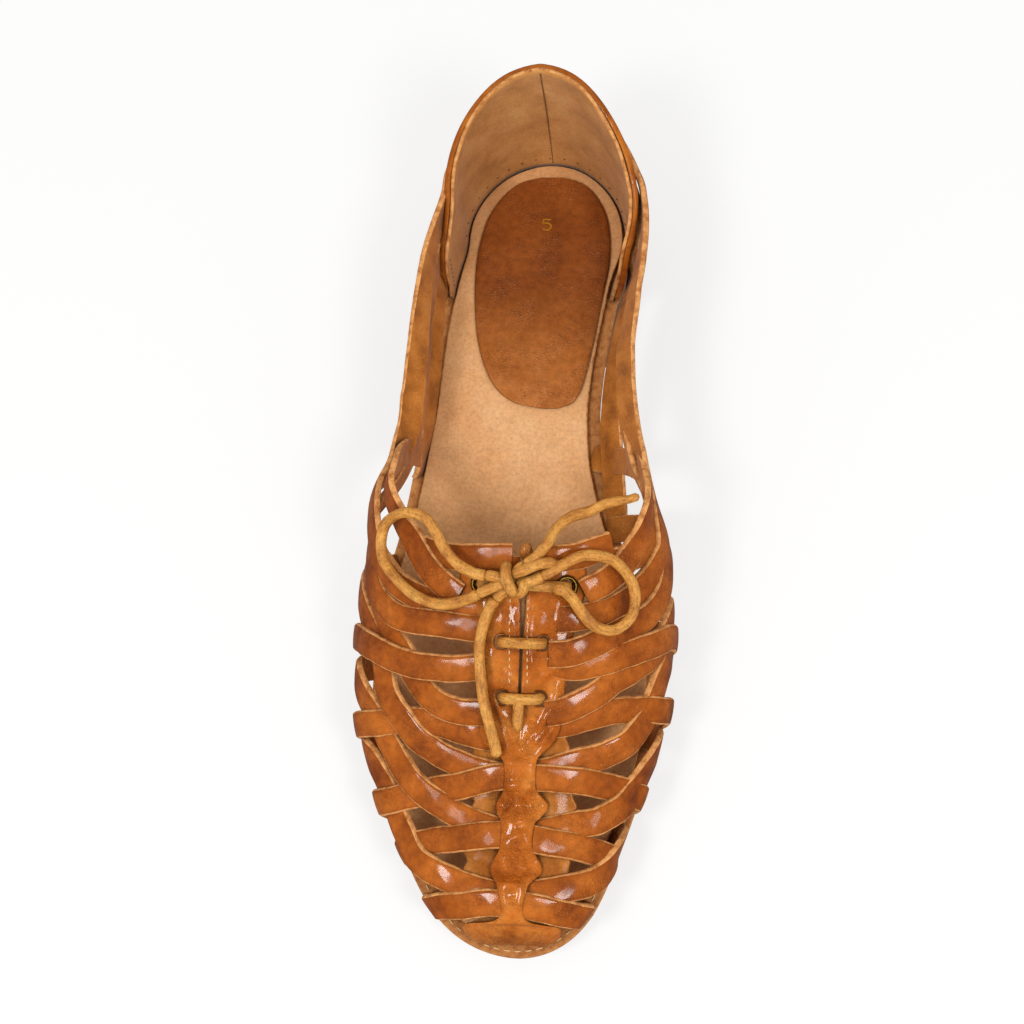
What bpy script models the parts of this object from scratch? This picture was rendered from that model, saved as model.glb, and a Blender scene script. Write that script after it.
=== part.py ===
"""Woven leather huarache flat, right foot, with a thong lace tied in a bow.

Frame: metres, +Z up, toe towards -Y, heel towards +Y, the foot's inner side
towards +X. The origin is on the floor at the middle of the sole.
The upper is one solid of crossing straps, a laced spine and a heel counter,
all laid on the surface of a last that is worked out from a table of sections.
"""
import math

import bmesh
import bpy
from mathutils import Vector

MM = 0.001

# Driving sizes
LENGTH = 248 * MM           # sole, toe to heel
BALL_WIDTH = 88 * MM        # last at its widest
INSTEP_HEIGHT = 50 * MM     # ridge of the last over the insole where the throat opens
COUNTER_HEIGHT = 57 * MM    # back of the heel counter over the midsole

# Sole stack
OUTSOLE_THICK = 3.4 * MM
MIDSOLE_THICK = 3.0 * MM
INSOLE_THICK = 1.8 * MM
HEEL_PAD_THICK = 0.9 * MM
HEEL_HEIGHT = 10 * MM
TOE_SPRING = 5.5 * MM
RIM_WIDTH = 3.4 * MM        # how far the midsole stands out past the feather line
OUTSOLE_STEP = 0.7 * MM     # how far the outsole stays inside the midsole's edge
SEAT_GAP = 0.3 * MM         # air between pieces that rest on each other

# Upper leather
STRAP_WIDTH = 7.8 * MM
STRAP_THICK = 1.8 * MM
LAYER_RISE = 1.35 * MM      # a strap over another one lies this much higher
SPINE_THICK = 1.7 * MM
COUNTER_THICK = 2.2 * MM
UNDERLAY_THICK = 1.5 * MM

# Lace
LACE_DIAMETER = 3.1 * MM
LACE_HOLE = 4.6 * MM
EYELET_BORE = 4.3 * MM
EYELET_RIM = 6.4 * MM
EYELET_BARREL = 4.9 * MM
EYELET_HOLE = 5.6 * MM
PUNCH_REACH = 9 * MM        # how far a punch reaches each side of the last
SLIT_WIDTH = 2.4 * MM

# Where the line that the widths are counted from stands, and how far the length
# is moved, so that the whole shoe is centred on the origin.
WIDTH_LINE = 4.2 * MM
LENGTH_SHIFT = -1.6 * MM

# Toe and heel ends of the last, as shares of the length
TOE_END, TOE_ROUND = 0.020, 0.30
HEEL_END, HEEL_ROUND = 0.983, 0.88
TOE_CAP = 0.08

# Sections of the last. along: share of the length from the toe. The feather
# line and the widest line on each side are shares of the ball width, the ridge
# and the heights of the widest lines are shares of the instep height, and the
# ridge's shift towards the inner side is a share of the ball width.
SECTION_COLUMNS = ("along", "outer_feather", "outer_wide", "inner_feather", "inner_wide",
                   "ridge", "outer_bulge", "inner_bulge", "ridge_shift")
SECTIONS = (
    (0.02, 0.466, 0.500, 0.386, 0.420, 0.26, 0.12, 0.12, -0.018),
    (0.08, 0.432, 0.477, 0.341, 0.381, 0.30, 0.14, 0.14, -0.025),
    (0.13, 0.438, 0.483, 0.335, 0.375, 0.35, 0.16, 0.16, -0.018),
    (0.18, 0.449, 0.494, 0.347, 0.386, 0.42, 0.17, 0.17, -0.011),
    (0.25, 0.477, 0.523, 0.375, 0.420, 0.56, 0.18, 0.18, -0.005),
    (0.32, 0.494, 0.545, 0.386, 0.443, 0.72, 0.19, 0.20, 0.001),
    (0.40, 0.489, 0.545, 0.358, 0.449, 0.88, 0.20, 0.26, 0.008),
    (0.46, 0.466, 0.528, 0.295, 0.426, 1.02, 0.26, 0.38, 0.010),
    (0.50, 0.438, 0.506, 0.244, 0.388, 1.16, 0.34, 0.48, 0.011),
    (0.55, 0.409, 0.425, 0.199, 0.325, 1.36, 0.38, 0.50, 0.011),
    (0.60, 0.386, 0.388, 0.170, 0.286, 1.60, 0.42, 0.51, 0.006),
    (0.65, 0.364, 0.378, 0.161, 0.270, 1.84, 0.45, 0.52, 0.000),
    (0.70, 0.352, 0.375, 0.170, 0.268, 2.00, 0.48, 0.53, 0.000),
    (0.76, 0.338, 0.370, 0.193, 0.286, 2.08, 0.51, 0.54, 0.000),
    (0.82, 0.314, 0.350, 0.222, 0.306, 2.10, 0.54, 0.54, 0.000),
    (0.88, 0.285, 0.318, 0.261, 0.300, 2.10, 0.54, 0.54, 0.000),
    (0.99, 0.285, 0.318, 0.261, 0.300, 2.10, 0.54, 0.54, 0.000),
)
WALL_SHARE = 0.8            # share of the way round that is arch; the rest tucks under
TUCK_UNDER = 0.5 * math.pi

# Straps of the weave, each a row of (along, round, layer) from the spine out to
# the sole. round runs from -1 at the outer feather line over 0 at the ridge to
# 1 at the inner feather line. layer counts leathers that the strap lies on.
STRAPS = {
    "outer_curved_1": ((0.200, 0.02, 1.0), (0.201, -0.09, 0.9), (0.213, -0.22, 0.2), (0.234, -0.33, 0.5),
                       (0.264, -0.41, 1.2), (0.290, -0.46, 0.5), (0.320, -0.49, 0.0), (0.350, -0.54, 0.0),
                       (0.385, -0.63, 0.4), (0.420, -0.74, 0.6), (0.450, -0.86, 0.2), (0.465, -1.0, 0.2)),
    "outer_curved_2": ((0.136, 0.03, 1.0), (0.140, -0.08, 0.9), (0.153, -0.21, 0.2), (0.172, -0.33, 0.8),
                       (0.193, -0.41, 1.2), (0.220, -0.47, 0.5), (0.245, -0.52, 0.0), (0.268, -0.57, 0.0),
                       (0.295, -0.65, 0.2), (0.322, -0.76, 0.3), (0.335, -0.88, 0.1), (0.340, -1.0, 0.2)),
    "outer_curved_3": ((0.069, 0.04, 1.0), (0.072, -0.14, 0.9), (0.081, -0.30, 0.8), (0.095, -0.45, 1.2),
                       (0.112, -0.54, 1.0), (0.136, -0.58, 0.3), (0.165, -0.60, 0.0), (0.192, -0.62, 0.0),
                       (0.218, -0.67, 0.2), (0.236, -0.78, 0.2), (0.246, -0.89, 0.1), (0.250, -1.0, 0.2)),
    "outer_cross_0": ((0.237, -0.06, 0.6), (0.243, -0.16, 0.5), (0.250, -0.24, 0.1), (0.256, -0.33, 0.0),
                      (0.257, -0.42, 0.1), (0.257, -0.53, 1.1), (0.260, -0.68, 1.3), (0.263, -0.80, 1.1),
                      (0.264, -0.90, 0.6), (0.264, -1.0, 0.2)),
    "outer_cross_1": ((0.200, 0.00, 2.0), (0.197, -0.08, 1.9), (0.189, -0.17, 1.2), (0.182, -0.30, 0.1),
                      (0.177, -0.42, 0.1), (0.174, -0.54, 0.9), (0.173, -0.67, 1.2), (0.174, -0.79, 1.0),
                      (0.174, -0.90, 0.5), (0.174, -1.0, 0.2)),
    "outer_cross_2": ((0.134, 0.00, 2.0), (0.133, -0.09, 1.9), (0.130, -0.20, 1.1), (0.127, -0.34, 0.1),
                      (0.124, -0.46, 0.0), (0.121, -0.60, 0.0), (0.118, -0.76, 0.1), (0.116, -0.90, 0.1),
                      (0.115, -1.0, 0.2)),
    "outer_cross_3": ((0.063, 0.00, 2.0), (0.062, -0.12, 1.9), (0.060, -0.30, 1.4), (0.060, -0.48, 1.3),
                      (0.061, -0.65, 1.2), (0.063, -0.80, 0.8), (0.065, -0.90, 0.4), (0.066, -1.0, 0.2)),
    "outer_curved_0": ((0.264, -0.10, 1.5), (0.266, -0.18, 1.5), (0.276, -0.26, 0.9), (0.294, -0.32, 0.2),
                       (0.320, -0.37, 0.1), (0.355, -0.45, 0.1), (0.390, -0.52, 0.1), (0.422, -0.62, 0.1),
                       (0.440, -0.78, 0.1), (0.445, -0.90, 0.1), (0.445, -1.0, 0.2)),
    "outer_band": ((0.312, -0.10, 1.1), (0.310, -0.20, 1.3), (0.313, -0.30, 1.5), (0.325, -0.42, 1.6),
                   (0.342, -0.55, 1.4), (0.358, -0.68, 1.2), (0.364, -0.80, 1.0), (0.365, -0.90, 0.5),
                   (0.365, -1.0, 0.2)),
    "outer_arch": ((0.350, -0.10, 0.7), (0.353, -0.18, 1.2), (0.359, -0.28, 1.4), (0.367, -0.39, 1.3),
                   (0.388, -0.48, 1.2), (0.412, -0.54, 0.9), (0.440, -0.60, 0.4), (0.468, -0.66, 0.2),
                   (0.500, -0.72, 0.2), (0.545, -0.80, 0.3), (0.600, -0.84, 0.4), (0.680, -0.850, 0.3),
                   (0.760, -0.845, 0.3), (0.815, -0.842, 0.4)),
    "outer_sweep": ((0.372, -0.12, 0.6), (0.376, -0.20, 0.6), (0.383, -0.29, 0.9), (0.402, -0.39, 1.8),
                    (0.430, -0.48, 1.8), (0.455, -0.545, 1.4), (0.485, -0.60, 1.3), (0.515, -0.66, 1.6),
                    (0.550, -0.73, 1.8), (0.600, -0.78, 1.6), (0.680, -0.793, 1.1), (0.760, -0.795, 0.7),
                    (0.820, -0.797, 0.7)),
    "outer_collar": ((0.385, -0.185, 1.3), (0.390, -0.205, 1.5), (0.399, -0.235, 1.6), (0.422, -0.30, 1.2),
                     (0.455, -0.37, 1.0), (0.482, -0.44, 1.1), (0.506, -0.51, 1.0), (0.530, -0.59, 0.8),
                     (0.552, -0.68, 0.7), (0.571, -0.77, 0.6), (0.586, -0.86, 0.5), (0.595, -0.93, 0.3),
                     (0.600, -1.0, 0.2)),
    "outer_low": ((0.575, -1.0, 0.2), (0.585, -0.95, 0.1), (0.615, -0.920, 0.0), (0.680, -0.905, 0.1),
                  (0.750, -0.895, 0.3), (0.800, -0.890, 0.4)),
    "inner_curved_1": ((0.203, -0.02, 1.0), (0.205, 0.11, 0.9), (0.215, 0.23, 0.2), (0.225, 0.35, 0.6),
                       (0.240, 0.45, 1.2), (0.261, 0.53, 0.7), (0.284, 0.59, 0.0), (0.315, 0.64, 0.1),
                       (0.345, 0.72, 0.1), (0.372, 0.82, 0.1), (0.385, 0.91, 0.1), (0.390, 1.0, 0.2)),
    "inner_curved_2": ((0.136, -0.03, 1.0), (0.138, 0.12, 0.9), (0.148, 0.28, 0.3), (0.157, 0.44, 1.2),
                       (0.175, 0.56, 0.9), (0.197, 0.65, 0.2), (0.222, 0.72, 0.1), (0.245, 0.80, 0.1),
                       (0.262, 0.90, 0.1), (0.268, 1.0, 0.2)),
    "inner_curved_3": ((0.070, -0.04, 1.0), (0.071, 0.14, 0.9), (0.078, 0.34, 0.9), (0.090, 0.55, 1.2),
                       (0.108, 0.70, 0.6), (0.128, 0.80, 0.2), (0.145, 0.90, 0.1), (0.152, 1.0, 0.2)),
    "inner_cross_0": ((0.250, 0.06, 0.2), (0.254, 0.14, 0.1), (0.258, 0.21, 0.2), (0.267, 0.30, 0.3),
                      (0.275, 0.40, 0.2), (0.279, 0.51, 0.1), (0.284, 0.64, 1.1), (0.288, 0.77, 1.1),
                      (0.289, 0.89, 0.5), (0.289, 1.0, 0.2)),
    "inner_cross_1": ((0.199, 0.00, 2.0), (0.199, 0.12, 1.9), (0.198, 0.26, 1.3), (0.195, 0.39, 0.5),
                      (0.192, 0.52, 0.1), (0.190, 0.66, 0.1), (0.190, 0.78, 1.0), (0.190, 0.90, 0.5),
                      (0.190, 1.0, 0.2)),
    "inner_cross_2": ((0.133, 0.00, 2.0), (0.131, 0.13, 1.9), (0.127, 0.28, 1.2), (0.123, 0.44, 0.4),
                      (0.120, 0.60, 0.1), (0.118, 0.76, 0.2), (0.117, 0.89, 0.2), (0.117, 1.0, 0.2)),
    "inner_cross_3": ((0.062, 0.00, 2.0), (0.060, 0.15, 1.9), (0.057, 0.35, 1.5), (0.056, 0.55, 1.4),
                      (0.057, 0.72, 1.1), (0.059, 0.88, 0.5), (0.060, 1.0, 0.2)),
    "inner_curved_0": ((0.266, 0.10, 1.4), (0.271, 0.17, 1.4), (0.284, 0.26, 1.1), (0.302, 0.34, 0.7),
                       (0.320, 0.45, 0.2), (0.340, 0.56, 0.1), (0.368, 0.66, 0.1), (0.395, 0.76, 0.1),
                       (0.415, 0.88, 0.1), (0.422, 1.0, 0.2)),
    "inner_band": ((0.318, 0.10, 0.8), (0.314, 0.18, 0.6), (0.320, 0.28, 0.9), (0.332, 0.38, 1.4),
                   (0.348, 0.51, 1.4), (0.364, 0.65, 1.2), (0.370, 0.78, 1.0), (0.371, 0.90, 0.5),
                   (0.371, 1.0, 0.2)),
    "inner_arch": ((0.326, 0.10, 1.5), (0.328, 0.17, 1.9), (0.335, 0.23, 1.9), (0.348, 0.31, 1.5),
                   (0.364, 0.40, 0.9), (0.380, 0.50, 0.9), (0.406, 0.58, 1.1), (0.440, 0.66, 1.0),
                   (0.476, 0.76, 0.6), (0.504, 0.88, 0.2), (0.514, 1.0, 0.2)),
    "inner_sweep": ((0.362, 0.12, 1.2), (0.366, 0.20, 1.4), (0.374, 0.29, 1.1), (0.390, 0.39, 0.3),
                    (0.412, 0.48, 0.3), (0.436, 0.56, 1.0), (0.458, 0.63, 1.2), (0.485, 0.68, 1.0),
                    (0.515, 0.71, 1.2), (0.550, 0.750, 1.7), (0.600, 0.780, 1.6), (0.680, 0.790, 1.3),
                    (0.760, 0.790, 1.5), (0.820, 0.785, 1.8)),
    "inner_collar": ((0.392, 0.215, 1.2), (0.397, 0.24, 1.4), (0.407, 0.29, 1.6), (0.428, 0.37, 1.4),
                     (0.455, 0.46, 1.4), (0.482, 0.54, 1.4), (0.506, 0.62, 1.2), (0.530, 0.70, 1.0),
                     (0.554, 0.78, 0.8), (0.576, 0.86, 0.6), (0.592, 0.93, 0.4), (0.600, 1.0, 0.2)),
    "inner_mid": ((0.425, 0.29, 0.3), (0.430, 0.36, 0.4), (0.440, 0.45, 0.3), (0.460, 0.56, 0.2),
                  (0.485, 0.66, 0.1), (0.520, 0.75, 0.0), (0.560, 0.80, 0.1), (0.620, 0.83, 0.3),
                  (0.690, 0.845, 0.5), (0.760, 0.842, 0.7), (0.815, 0.838, 0.9)),
    "inner_low": ((0.510, 1.0, 0.2), (0.525, 0.965, 0.1), (0.560, 0.935, 0.0), (0.620, 0.912, 0.1),
                  (0.690, 0.900, 0.3), (0.760, 0.892, 0.5), (0.800, 0.888, 0.6)),
    "throat_outer": ((0.424, -0.03, 1.2), (0.424, -0.10, 1.2), (0.425, -0.18, 0.9), (0.430, -0.26, 0.4),
                     (0.440, -0.34, 0.2)),
    "throat_inner": ((0.424, 0.05, 1.2), (0.424, 0.11, 1.2), (0.428, 0.18, 1.0), (0.436, 0.25, 0.9),
                     (0.445, 0.33, 0.6)),
}

# Where the side straps go on along the counter's outside: share of the way round
# it (0 outer front, 1 back, 2 inner front), share of its height, and how far the
# strap stands off its face.
STRAP_ENDS = {
    "outer_sweep": ((0.34, 0.48, 0.6 * MM), (0.46, 0.50, 0.1 * MM), (0.58, 0.52, -0.2 * MM), (0.70, 0.54, -0.4 * MM)),
    "outer_arch": ((0.32, 0.32, 0.3 * MM), (0.44, 0.34, -0.1 * MM), (0.56, 0.36, -0.4 * MM)),
    "outer_low": ((0.14, 0.17, 0.2 * MM), (0.26, 0.18, -0.2 * MM), (0.38, 0.20, -0.4 * MM)),
    "inner_sweep": ((1.62, 0.47, 1.8 * MM), (1.52, 0.52, 1.0 * MM), (1.42, 0.57, 0.2 * MM), (1.31, 0.59, -0.2 * MM),
                    (1.20, 0.60, -0.4 * MM)),
    "inner_mid": ((1.68, 0.33, 0.6 * MM), (1.55, 0.35, 0.1 * MM), (1.42, 0.38, -0.4 * MM)),
    "inner_low": ((1.85, 0.17, 0.3 * MM), (1.72, 0.18, -0.2 * MM), (1.60, 0.20, -0.4 * MM)),
}

# How far a side strap's upper edge leans outwards, in degrees at shares of the length.
STRAP_LEAN = {
    "outer_collar": ((0.45, 0), (0.50, 14), (0.55, 12), (0.59, 2)),
    "inner_collar": ((0.45, 0), (0.50, 18), (0.55, 24), (0.59, 6)),
    "outer_sweep": ((0.52, 0), (0.57, 30), (0.61, 48), (0.68, 40), (0.76, 24), (0.82, 10)),
    "outer_low": ((0.58, 0), (0.65, 22), (0.74, 26), (0.80, 10)),
    "inner_sweep": ((0.50, 0), (0.56, 26), (0.62, 40), (0.70, 36), (0.76, 24), (0.82, 12)),
    "inner_low": ((0.52, 0), (0.60, 24), (0.72, 26), (0.80, 10)),
}

# The spine, a row from the throat to the toe: its two edges and its height in
# layers. Between the slots it bulges down on to the underlay.
SPINE = (
    (0.425, -0.175, 0.215, 0.9), (0.402, -0.185, 0.225, 0.8), (0.372, -0.165, 0.205, 0.8),
    (0.342, -0.145, 0.180, 0.8), (0.312, -0.130, 0.165, 0.8), (0.277, -0.120, 0.165, 0.9),
    (0.250, -0.120, 0.160, 1.2), (0.234, -0.105, 0.135, 1.6), (0.222, -0.055, 0.090, 2.4),
    (0.212, -0.035, 0.082, 2.9), (0.190, -0.035, 0.088, 2.9), (0.182, -0.040, 0.105, 2.4),
    (0.168, -0.065, 0.155, 1.2), (0.156, -0.055, 0.130, 2.2), (0.147, -0.040, 0.105, 2.9),
    (0.123, -0.040, 0.110, 2.9), (0.115, -0.050, 0.130, 2.2), (0.097, -0.090, 0.190, 1.2),
    (0.084, -0.070, 0.150, 2.1), (0.076, -0.050, 0.125, 2.9), (0.050, -0.060, 0.145, 2.6),
    (0.043, -0.420, 0.500, 1.1), (0.036, -0.620, 0.680, 0.7), (0.030, -0.880, 0.900, 0.4),
    (0.026, -1.000, 1.000, 0.3),
)
UNDERLAY = (
    (0.262, -0.10, 0.13), (0.230, -0.14, 0.21), (0.200, -0.15, 0.24), (0.168, -0.17, 0.28),
    (0.130, -0.20, 0.31), (0.097, -0.24, 0.36), (0.072, -0.26, 0.40), (0.052, -0.30, 0.44),
)

# Heel counter: along shares of its front edge at the feather, and the top edge
# as shares of the counter height at shares of the way round to the back.
COUNTER_FRONT = 0.800
COUNTER_TOP = (
    (0.00, 0.05), (0.04, 0.26), (0.10, 0.37), (0.18, 0.43), (0.32, 0.54), (0.51, 0.70),
    (0.70, 0.85), (0.87, 0.96), (1.00, 1.00),
)
# How far the counter swells out at half its height, at shares of the way round it.
COUNTER_BULGE = (
    (0.00, 0.8 * MM), (0.60, 0.8 * MM), (1.00, 2.0 * MM), (1.35, 0.3 * MM), (1.55, 1.2 * MM),
    (1.80, 3.4 * MM), (2.00, 3.6 * MM),
)

# Lace holes and bars: along share and the round shares of the two holes.
LACE_BARS = ((0.337, -0.055, 0.078), (0.281, -0.046, 0.076))
EYELETS = (0.397, -0.115, 0.150)
SLIT = (0.276, 0.004)       # where the slit in the spine stops, and its place round

# Thong lace: routes of the bow, each row (along, round, height over the last in mm)
LACE_ROUTES = {
    "lace_loop_left": ((0.4075, -0.085, 9.6), (0.411, -0.125, 9.4), (0.421, -0.169, 9.0), (0.437, -0.206, 8.4),
                       (0.459, -0.244, 7.9), (0.474, -0.281, 7.6), (0.480, -0.332, 7.6), (0.479, -0.383, 8.0),
                       (0.468, -0.422, 8.2), (0.446, -0.426, 8.2), (0.426, -0.403, 8.2), (0.406, -0.354, 8.0),
                       (0.388, -0.295, 7.8), (0.378, -0.222, 7.8), (0.381, -0.154, 8.0), (0.3895, -0.105, 8.8)),
    "lace_loop_right": ((0.4075, 0.060, 9.9), (0.422, 0.129, 9.2), (0.432, 0.184, 8.6), (0.434, 0.244, 8.4),
                        (0.430, 0.297, 8.4), (0.417, 0.342, 8.4), (0.400, 0.369, 8.4), (0.3775, 0.367, 8.2),
                        (0.3625, 0.330, 8.0), (0.357, 0.286, 8.0), (0.3615, 0.230, 8.0), (0.375, 0.188, 8.1),
                        (0.388, 0.156, 9.0), (0.3955, 0.128, 9.9), (0.3965, 0.098, 10.2)),
    "lace_end_up": ((0.4195, 0.010, 10.2), (0.4285, 0.044, 9.4), (0.4435, 0.082, 7.6), (0.457, 0.115, 4.5),
                    (0.466, 0.174, 1.0), (0.4735, 0.266, -0.6), (0.483, 0.330, 0.5), (0.490, 0.380, 3.2),
                    (0.4935, 0.410, 5.8), (0.497, 0.436, 7.6)),
    "lace_end_down": ((0.3835, -0.064, 7.5), (0.374, -0.081, 6.9), (0.3545, -0.099, 6.6), (0.333, -0.108, 6.6),
                      (0.312, -0.104, 6.6), (0.282, -0.095, 6.6), (0.257, -0.078, 6.8), (0.237, -0.064, 6.8),
                      (0.222, -0.054, 7.4)),
}

LEATHER_BROWN = (0.462, 0.130, 0.022, 1.0)
LEATHER_NATURAL = (0.640, 0.381, 0.195, 1.0)
LEATHER_EDGE = (0.521, 0.275, 0.095, 1.0)
PAD_BROWN = (0.353, 0.096, 0.026, 1.0)
LACE_TAN = (0.509, 0.262, 0.052, 1.0)
HEEL_BROWN = (0.210, 0.085, 0.030, 1.0)
BRASS = (0.560, 0.390, 0.120, 1.0)


def clear_scene():
    for item in list(bpy.data.objects):
        bpy.data.objects.remove(item, do_unlink=True)


def make_material(name, colour, roughness, metallic=0.0):
    material = bpy.data.materials.new(name)
    material.use_nodes = True
    shader = material.node_tree.nodes["Principled BSDF"]
    shader.inputs["Base Color"].default_value = colour
    shader.inputs["Roughness"].default_value = roughness
    shader.inputs["Metallic"].default_value = metallic
    return material


# The last


def smooth_lookup(rows, at, column):
    """Read a column between the rows on a curve that does not overshoot them."""
    xs = [row[0] for row in rows]
    ys = [row[column] for row in rows]
    rising = xs[-1] > xs[0]
    if not rising:
        xs, ys = xs[::-1], ys[::-1]
    at = min(max(at, xs[0]), xs[-1])
    slopes = [(ys[i + 1] - ys[i]) / (xs[i + 1] - xs[i]) for i in range(len(xs) - 1)]
    tangents = [slopes[0]]
    for before, after in zip(slopes, slopes[1:]):
        level = before * after <= 0
        tangents.append(0.0 if level else 2 * before * after / (before + after))
    tangents.append(slopes[-1])
    span = max(i for i in range(len(xs) - 1) if xs[i] <= at)
    step = xs[span + 1] - xs[span]
    s = (at - xs[span]) / step
    return ((1 + 2 * s) * (1 - s) ** 2 * ys[span] + s * (1 - s) ** 2 * step * tangents[span]
            + s * s * (3 - 2 * s) * ys[span + 1] + s * s * (s - 1) * step * tangents[span + 1])


def round_end(reach):
    """Half-ellipse that closes a plan outline; reach is 0 where it starts and 1 at its tip."""
    return math.sqrt(max(0.0, 1 - min(max(reach, 0.0), 1.0) ** 2))


def end_factor(along):
    toe = round_end((TOE_ROUND - along) / (TOE_ROUND - TOE_END))
    heel = round_end((along - HEEL_ROUND) / (HEEL_END - HEEL_ROUND))
    return toe * heel


def section(along):
    """The last's section there, as lengths."""
    values = {name: smooth_lookup(SECTIONS, along, i) for i, name in enumerate(SECTION_COLUMNS) if i}
    ends = end_factor(along)
    cap = round_end((TOE_CAP - along) / (TOE_CAP - TOE_END))
    for name in ("outer_feather", "outer_wide", "inner_feather", "inner_wide"):
        values[name] *= BALL_WIDTH * ends
    for name in ("ridge", "outer_bulge", "inner_bulge"):
        values[name] *= INSTEP_HEIGHT * cap
    values["ridge_shift"] *= BALL_WIDTH
    return values


def sole_floor(along):
    """Height of the outsole's underside: toe spring, flat tread, then the rise to the heel."""
    spring_from, arch_from, arch_to = 0.20, 0.42, 0.72
    spring = TOE_SPRING * max(0.0, (spring_from - along) / spring_from) ** 2
    rise = min(max((along - arch_from) / (arch_to - arch_from), 0.0), 1.0)
    return spring + HEEL_HEIGHT * rise * rise * (3 - 2 * rise)


def seat_height(along):
    """Top of the midsole, with the gap that what stands on it keeps."""
    return sole_floor(along) + OUTSOLE_THICK + MIDSOLE_THICK + 2 * SEAT_GAP


def foot_point(across, along, height):
    """A point by its distance from the width line, its share of the length and its height."""
    return Vector((WIDTH_LINE + across, LENGTH_SHIFT + (along - 0.5) * LENGTH, height))


def last_point(along, around):
    cut = section(along)
    side = "outer" if around < 0 else "inner"
    sign = -1 if around < 0 else 1
    feather, wide, bulge = cut[side + "_feather"], cut[side + "_wide"], cut[side + "_bulge"]
    base = seat_height(along)
    if abs(around) <= WALL_SHARE:
        angle = abs(around) / WALL_SHARE * math.pi / 2
        x = cut["ridge_shift"] + (sign * wide - cut["ridge_shift"]) * math.sin(angle)
        z = bulge + (cut["ridge"] - bulge) * math.cos(angle)
    else:
        angle = (abs(around) - WALL_SHARE) / (1 - WALL_SHARE) * TUCK_UNDER
        x = sign * (feather + (wide - feather) * math.cos(angle))
        z = bulge * (1 - math.sin(angle))
    return foot_point(x, along, base + z)


def last_normal(along, around):
    step = 0.002
    ahead, behind = last_point(along + step, around), last_point(along - step, around)
    high, low = last_point(along, min(around + 4 * step, 1)), last_point(along, max(around - 4 * step, -1))
    return (high - low).cross(ahead - behind).normalized()


def on_last(along, around, height):
    return last_point(along, around) + last_normal(along, around) * height


# Mesh builders


def new_object(name, bm, material, collection, smooth=True):
    mesh = bpy.data.meshes.new(name)
    bmesh.ops.recalc_face_normals(bm, faces=bm.faces)
    bm.to_mesh(mesh)
    bm.free()
    mesh.materials.append(material)
    if smooth:
        mesh.shade_smooth()
        mesh.set_sharp_from_angle(angle=math.radians(35))
    item = bpy.data.objects.new(name, mesh)
    collection.objects.link(item)
    return item


def loft(rings):
    """A closed body through rings of equal size, with flat ends."""
    bm = bmesh.new()
    loops = [[bm.verts.new(point) for point in ring] for ring in rings]
    count = len(loops[0])
    for before, after in zip(loops, loops[1:]):
        for i in range(count):
            j = (i + 1) % count
            bm.faces.new((before[i], before[j], after[j], after[i]))
    bm.faces.new(loops[0])
    bm.faces.new(loops[-1][::-1])
    bmesh.ops.triangulate(bm, faces=bm.faces)
    return bm


def spread(rows, per_span):
    """Points on a smooth curve through the rows, with per_span steps between two rows."""
    points = []
    last = len(rows) - 1
    for i in range(last):
        a, b, c, d = rows[max(i - 1, 0)], rows[i], rows[i + 1], rows[min(i + 2, last)]
        for k in range(per_span):
            s = k / per_span
            points.append(tuple(
                0.5 * (2 * q + (r - p) * s + (2 * p - 5 * q + 4 * r - t) * s * s
                       + (3 * q - p - 3 * r + t) * s ** 3)
                for p, q, r, t in zip(a, b, c, d)))
    points.append(tuple(float(value) for value in rows[-1]))
    return points


def strap_frames(name, per_span):
    """Centre line, outward direction and lean of a strap, on the last and then on the counter."""
    frames = []
    for along, around, layer in spread(STRAPS[name], per_span):
        lean = smooth_lookup(STRAP_LEAN[name], along, 1) if name in STRAP_LEAN else 0.0
        frames.append((on_last(along, around, layer * LAYER_RISE), last_normal(along, around), lean))
    for share, rise, off in STRAP_ENDS.get(name, ()):
        place = counter_point(share, rise * COUNTER_HEIGHT, COUNTER_THICK + off)
        frames.append((place, counter_out(share), 0.0))
    return frames


def strap_body(name, width, thick, per_span):
    """A flat strap laid along its route."""
    frames = strap_frames(name, per_span)
    rings = []
    for i, (middle, normal, lean) in enumerate(frames):
        ahead = (frames[min(i + 1, len(frames) - 1)][0] - frames[max(i - 1, 0)][0]).normalized()
        across = ahead.cross(normal).normalized()
        outwards = across.cross(ahead)
        rising = across if across.z > 0 else -across
        outwards = outwards * math.cos(math.radians(lean)) - rising * math.sin(math.radians(lean))
        across = ahead.cross(outwards).normalized() * width / 2
        up = outwards * thick
        rings.append((middle - across, middle + across, middle + across + up, middle - across + up))
    return loft(rings)


def sheet_body(rows, thick, across_steps, per_span):
    """A sheet of leather on the last: rows of along, two edges and a layer."""
    rings = []
    for along, low, high, layer in spread(rows, per_span):
        shares = [low + (high - low) * k / across_steps for k in range(across_steps + 1)]
        under = [on_last(along, share, layer * LAYER_RISE) for share in shares]
        over = [on_last(along, share, layer * LAYER_RISE + thick) for share in shares]
        rings.append(under + over[::-1])
    return loft(rings)


def plan_stations(start, stop, count):
    """Shares of the length, close together at the round ends."""
    return [start + (stop - start) * (1 - math.cos(math.pi * k / count)) / 2 for k in range(count + 1)]


def plan_half_widths(along, margin):
    cut = section(along)
    return cut["outer_feather"] + margin, cut["inner_feather"] + margin


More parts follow.
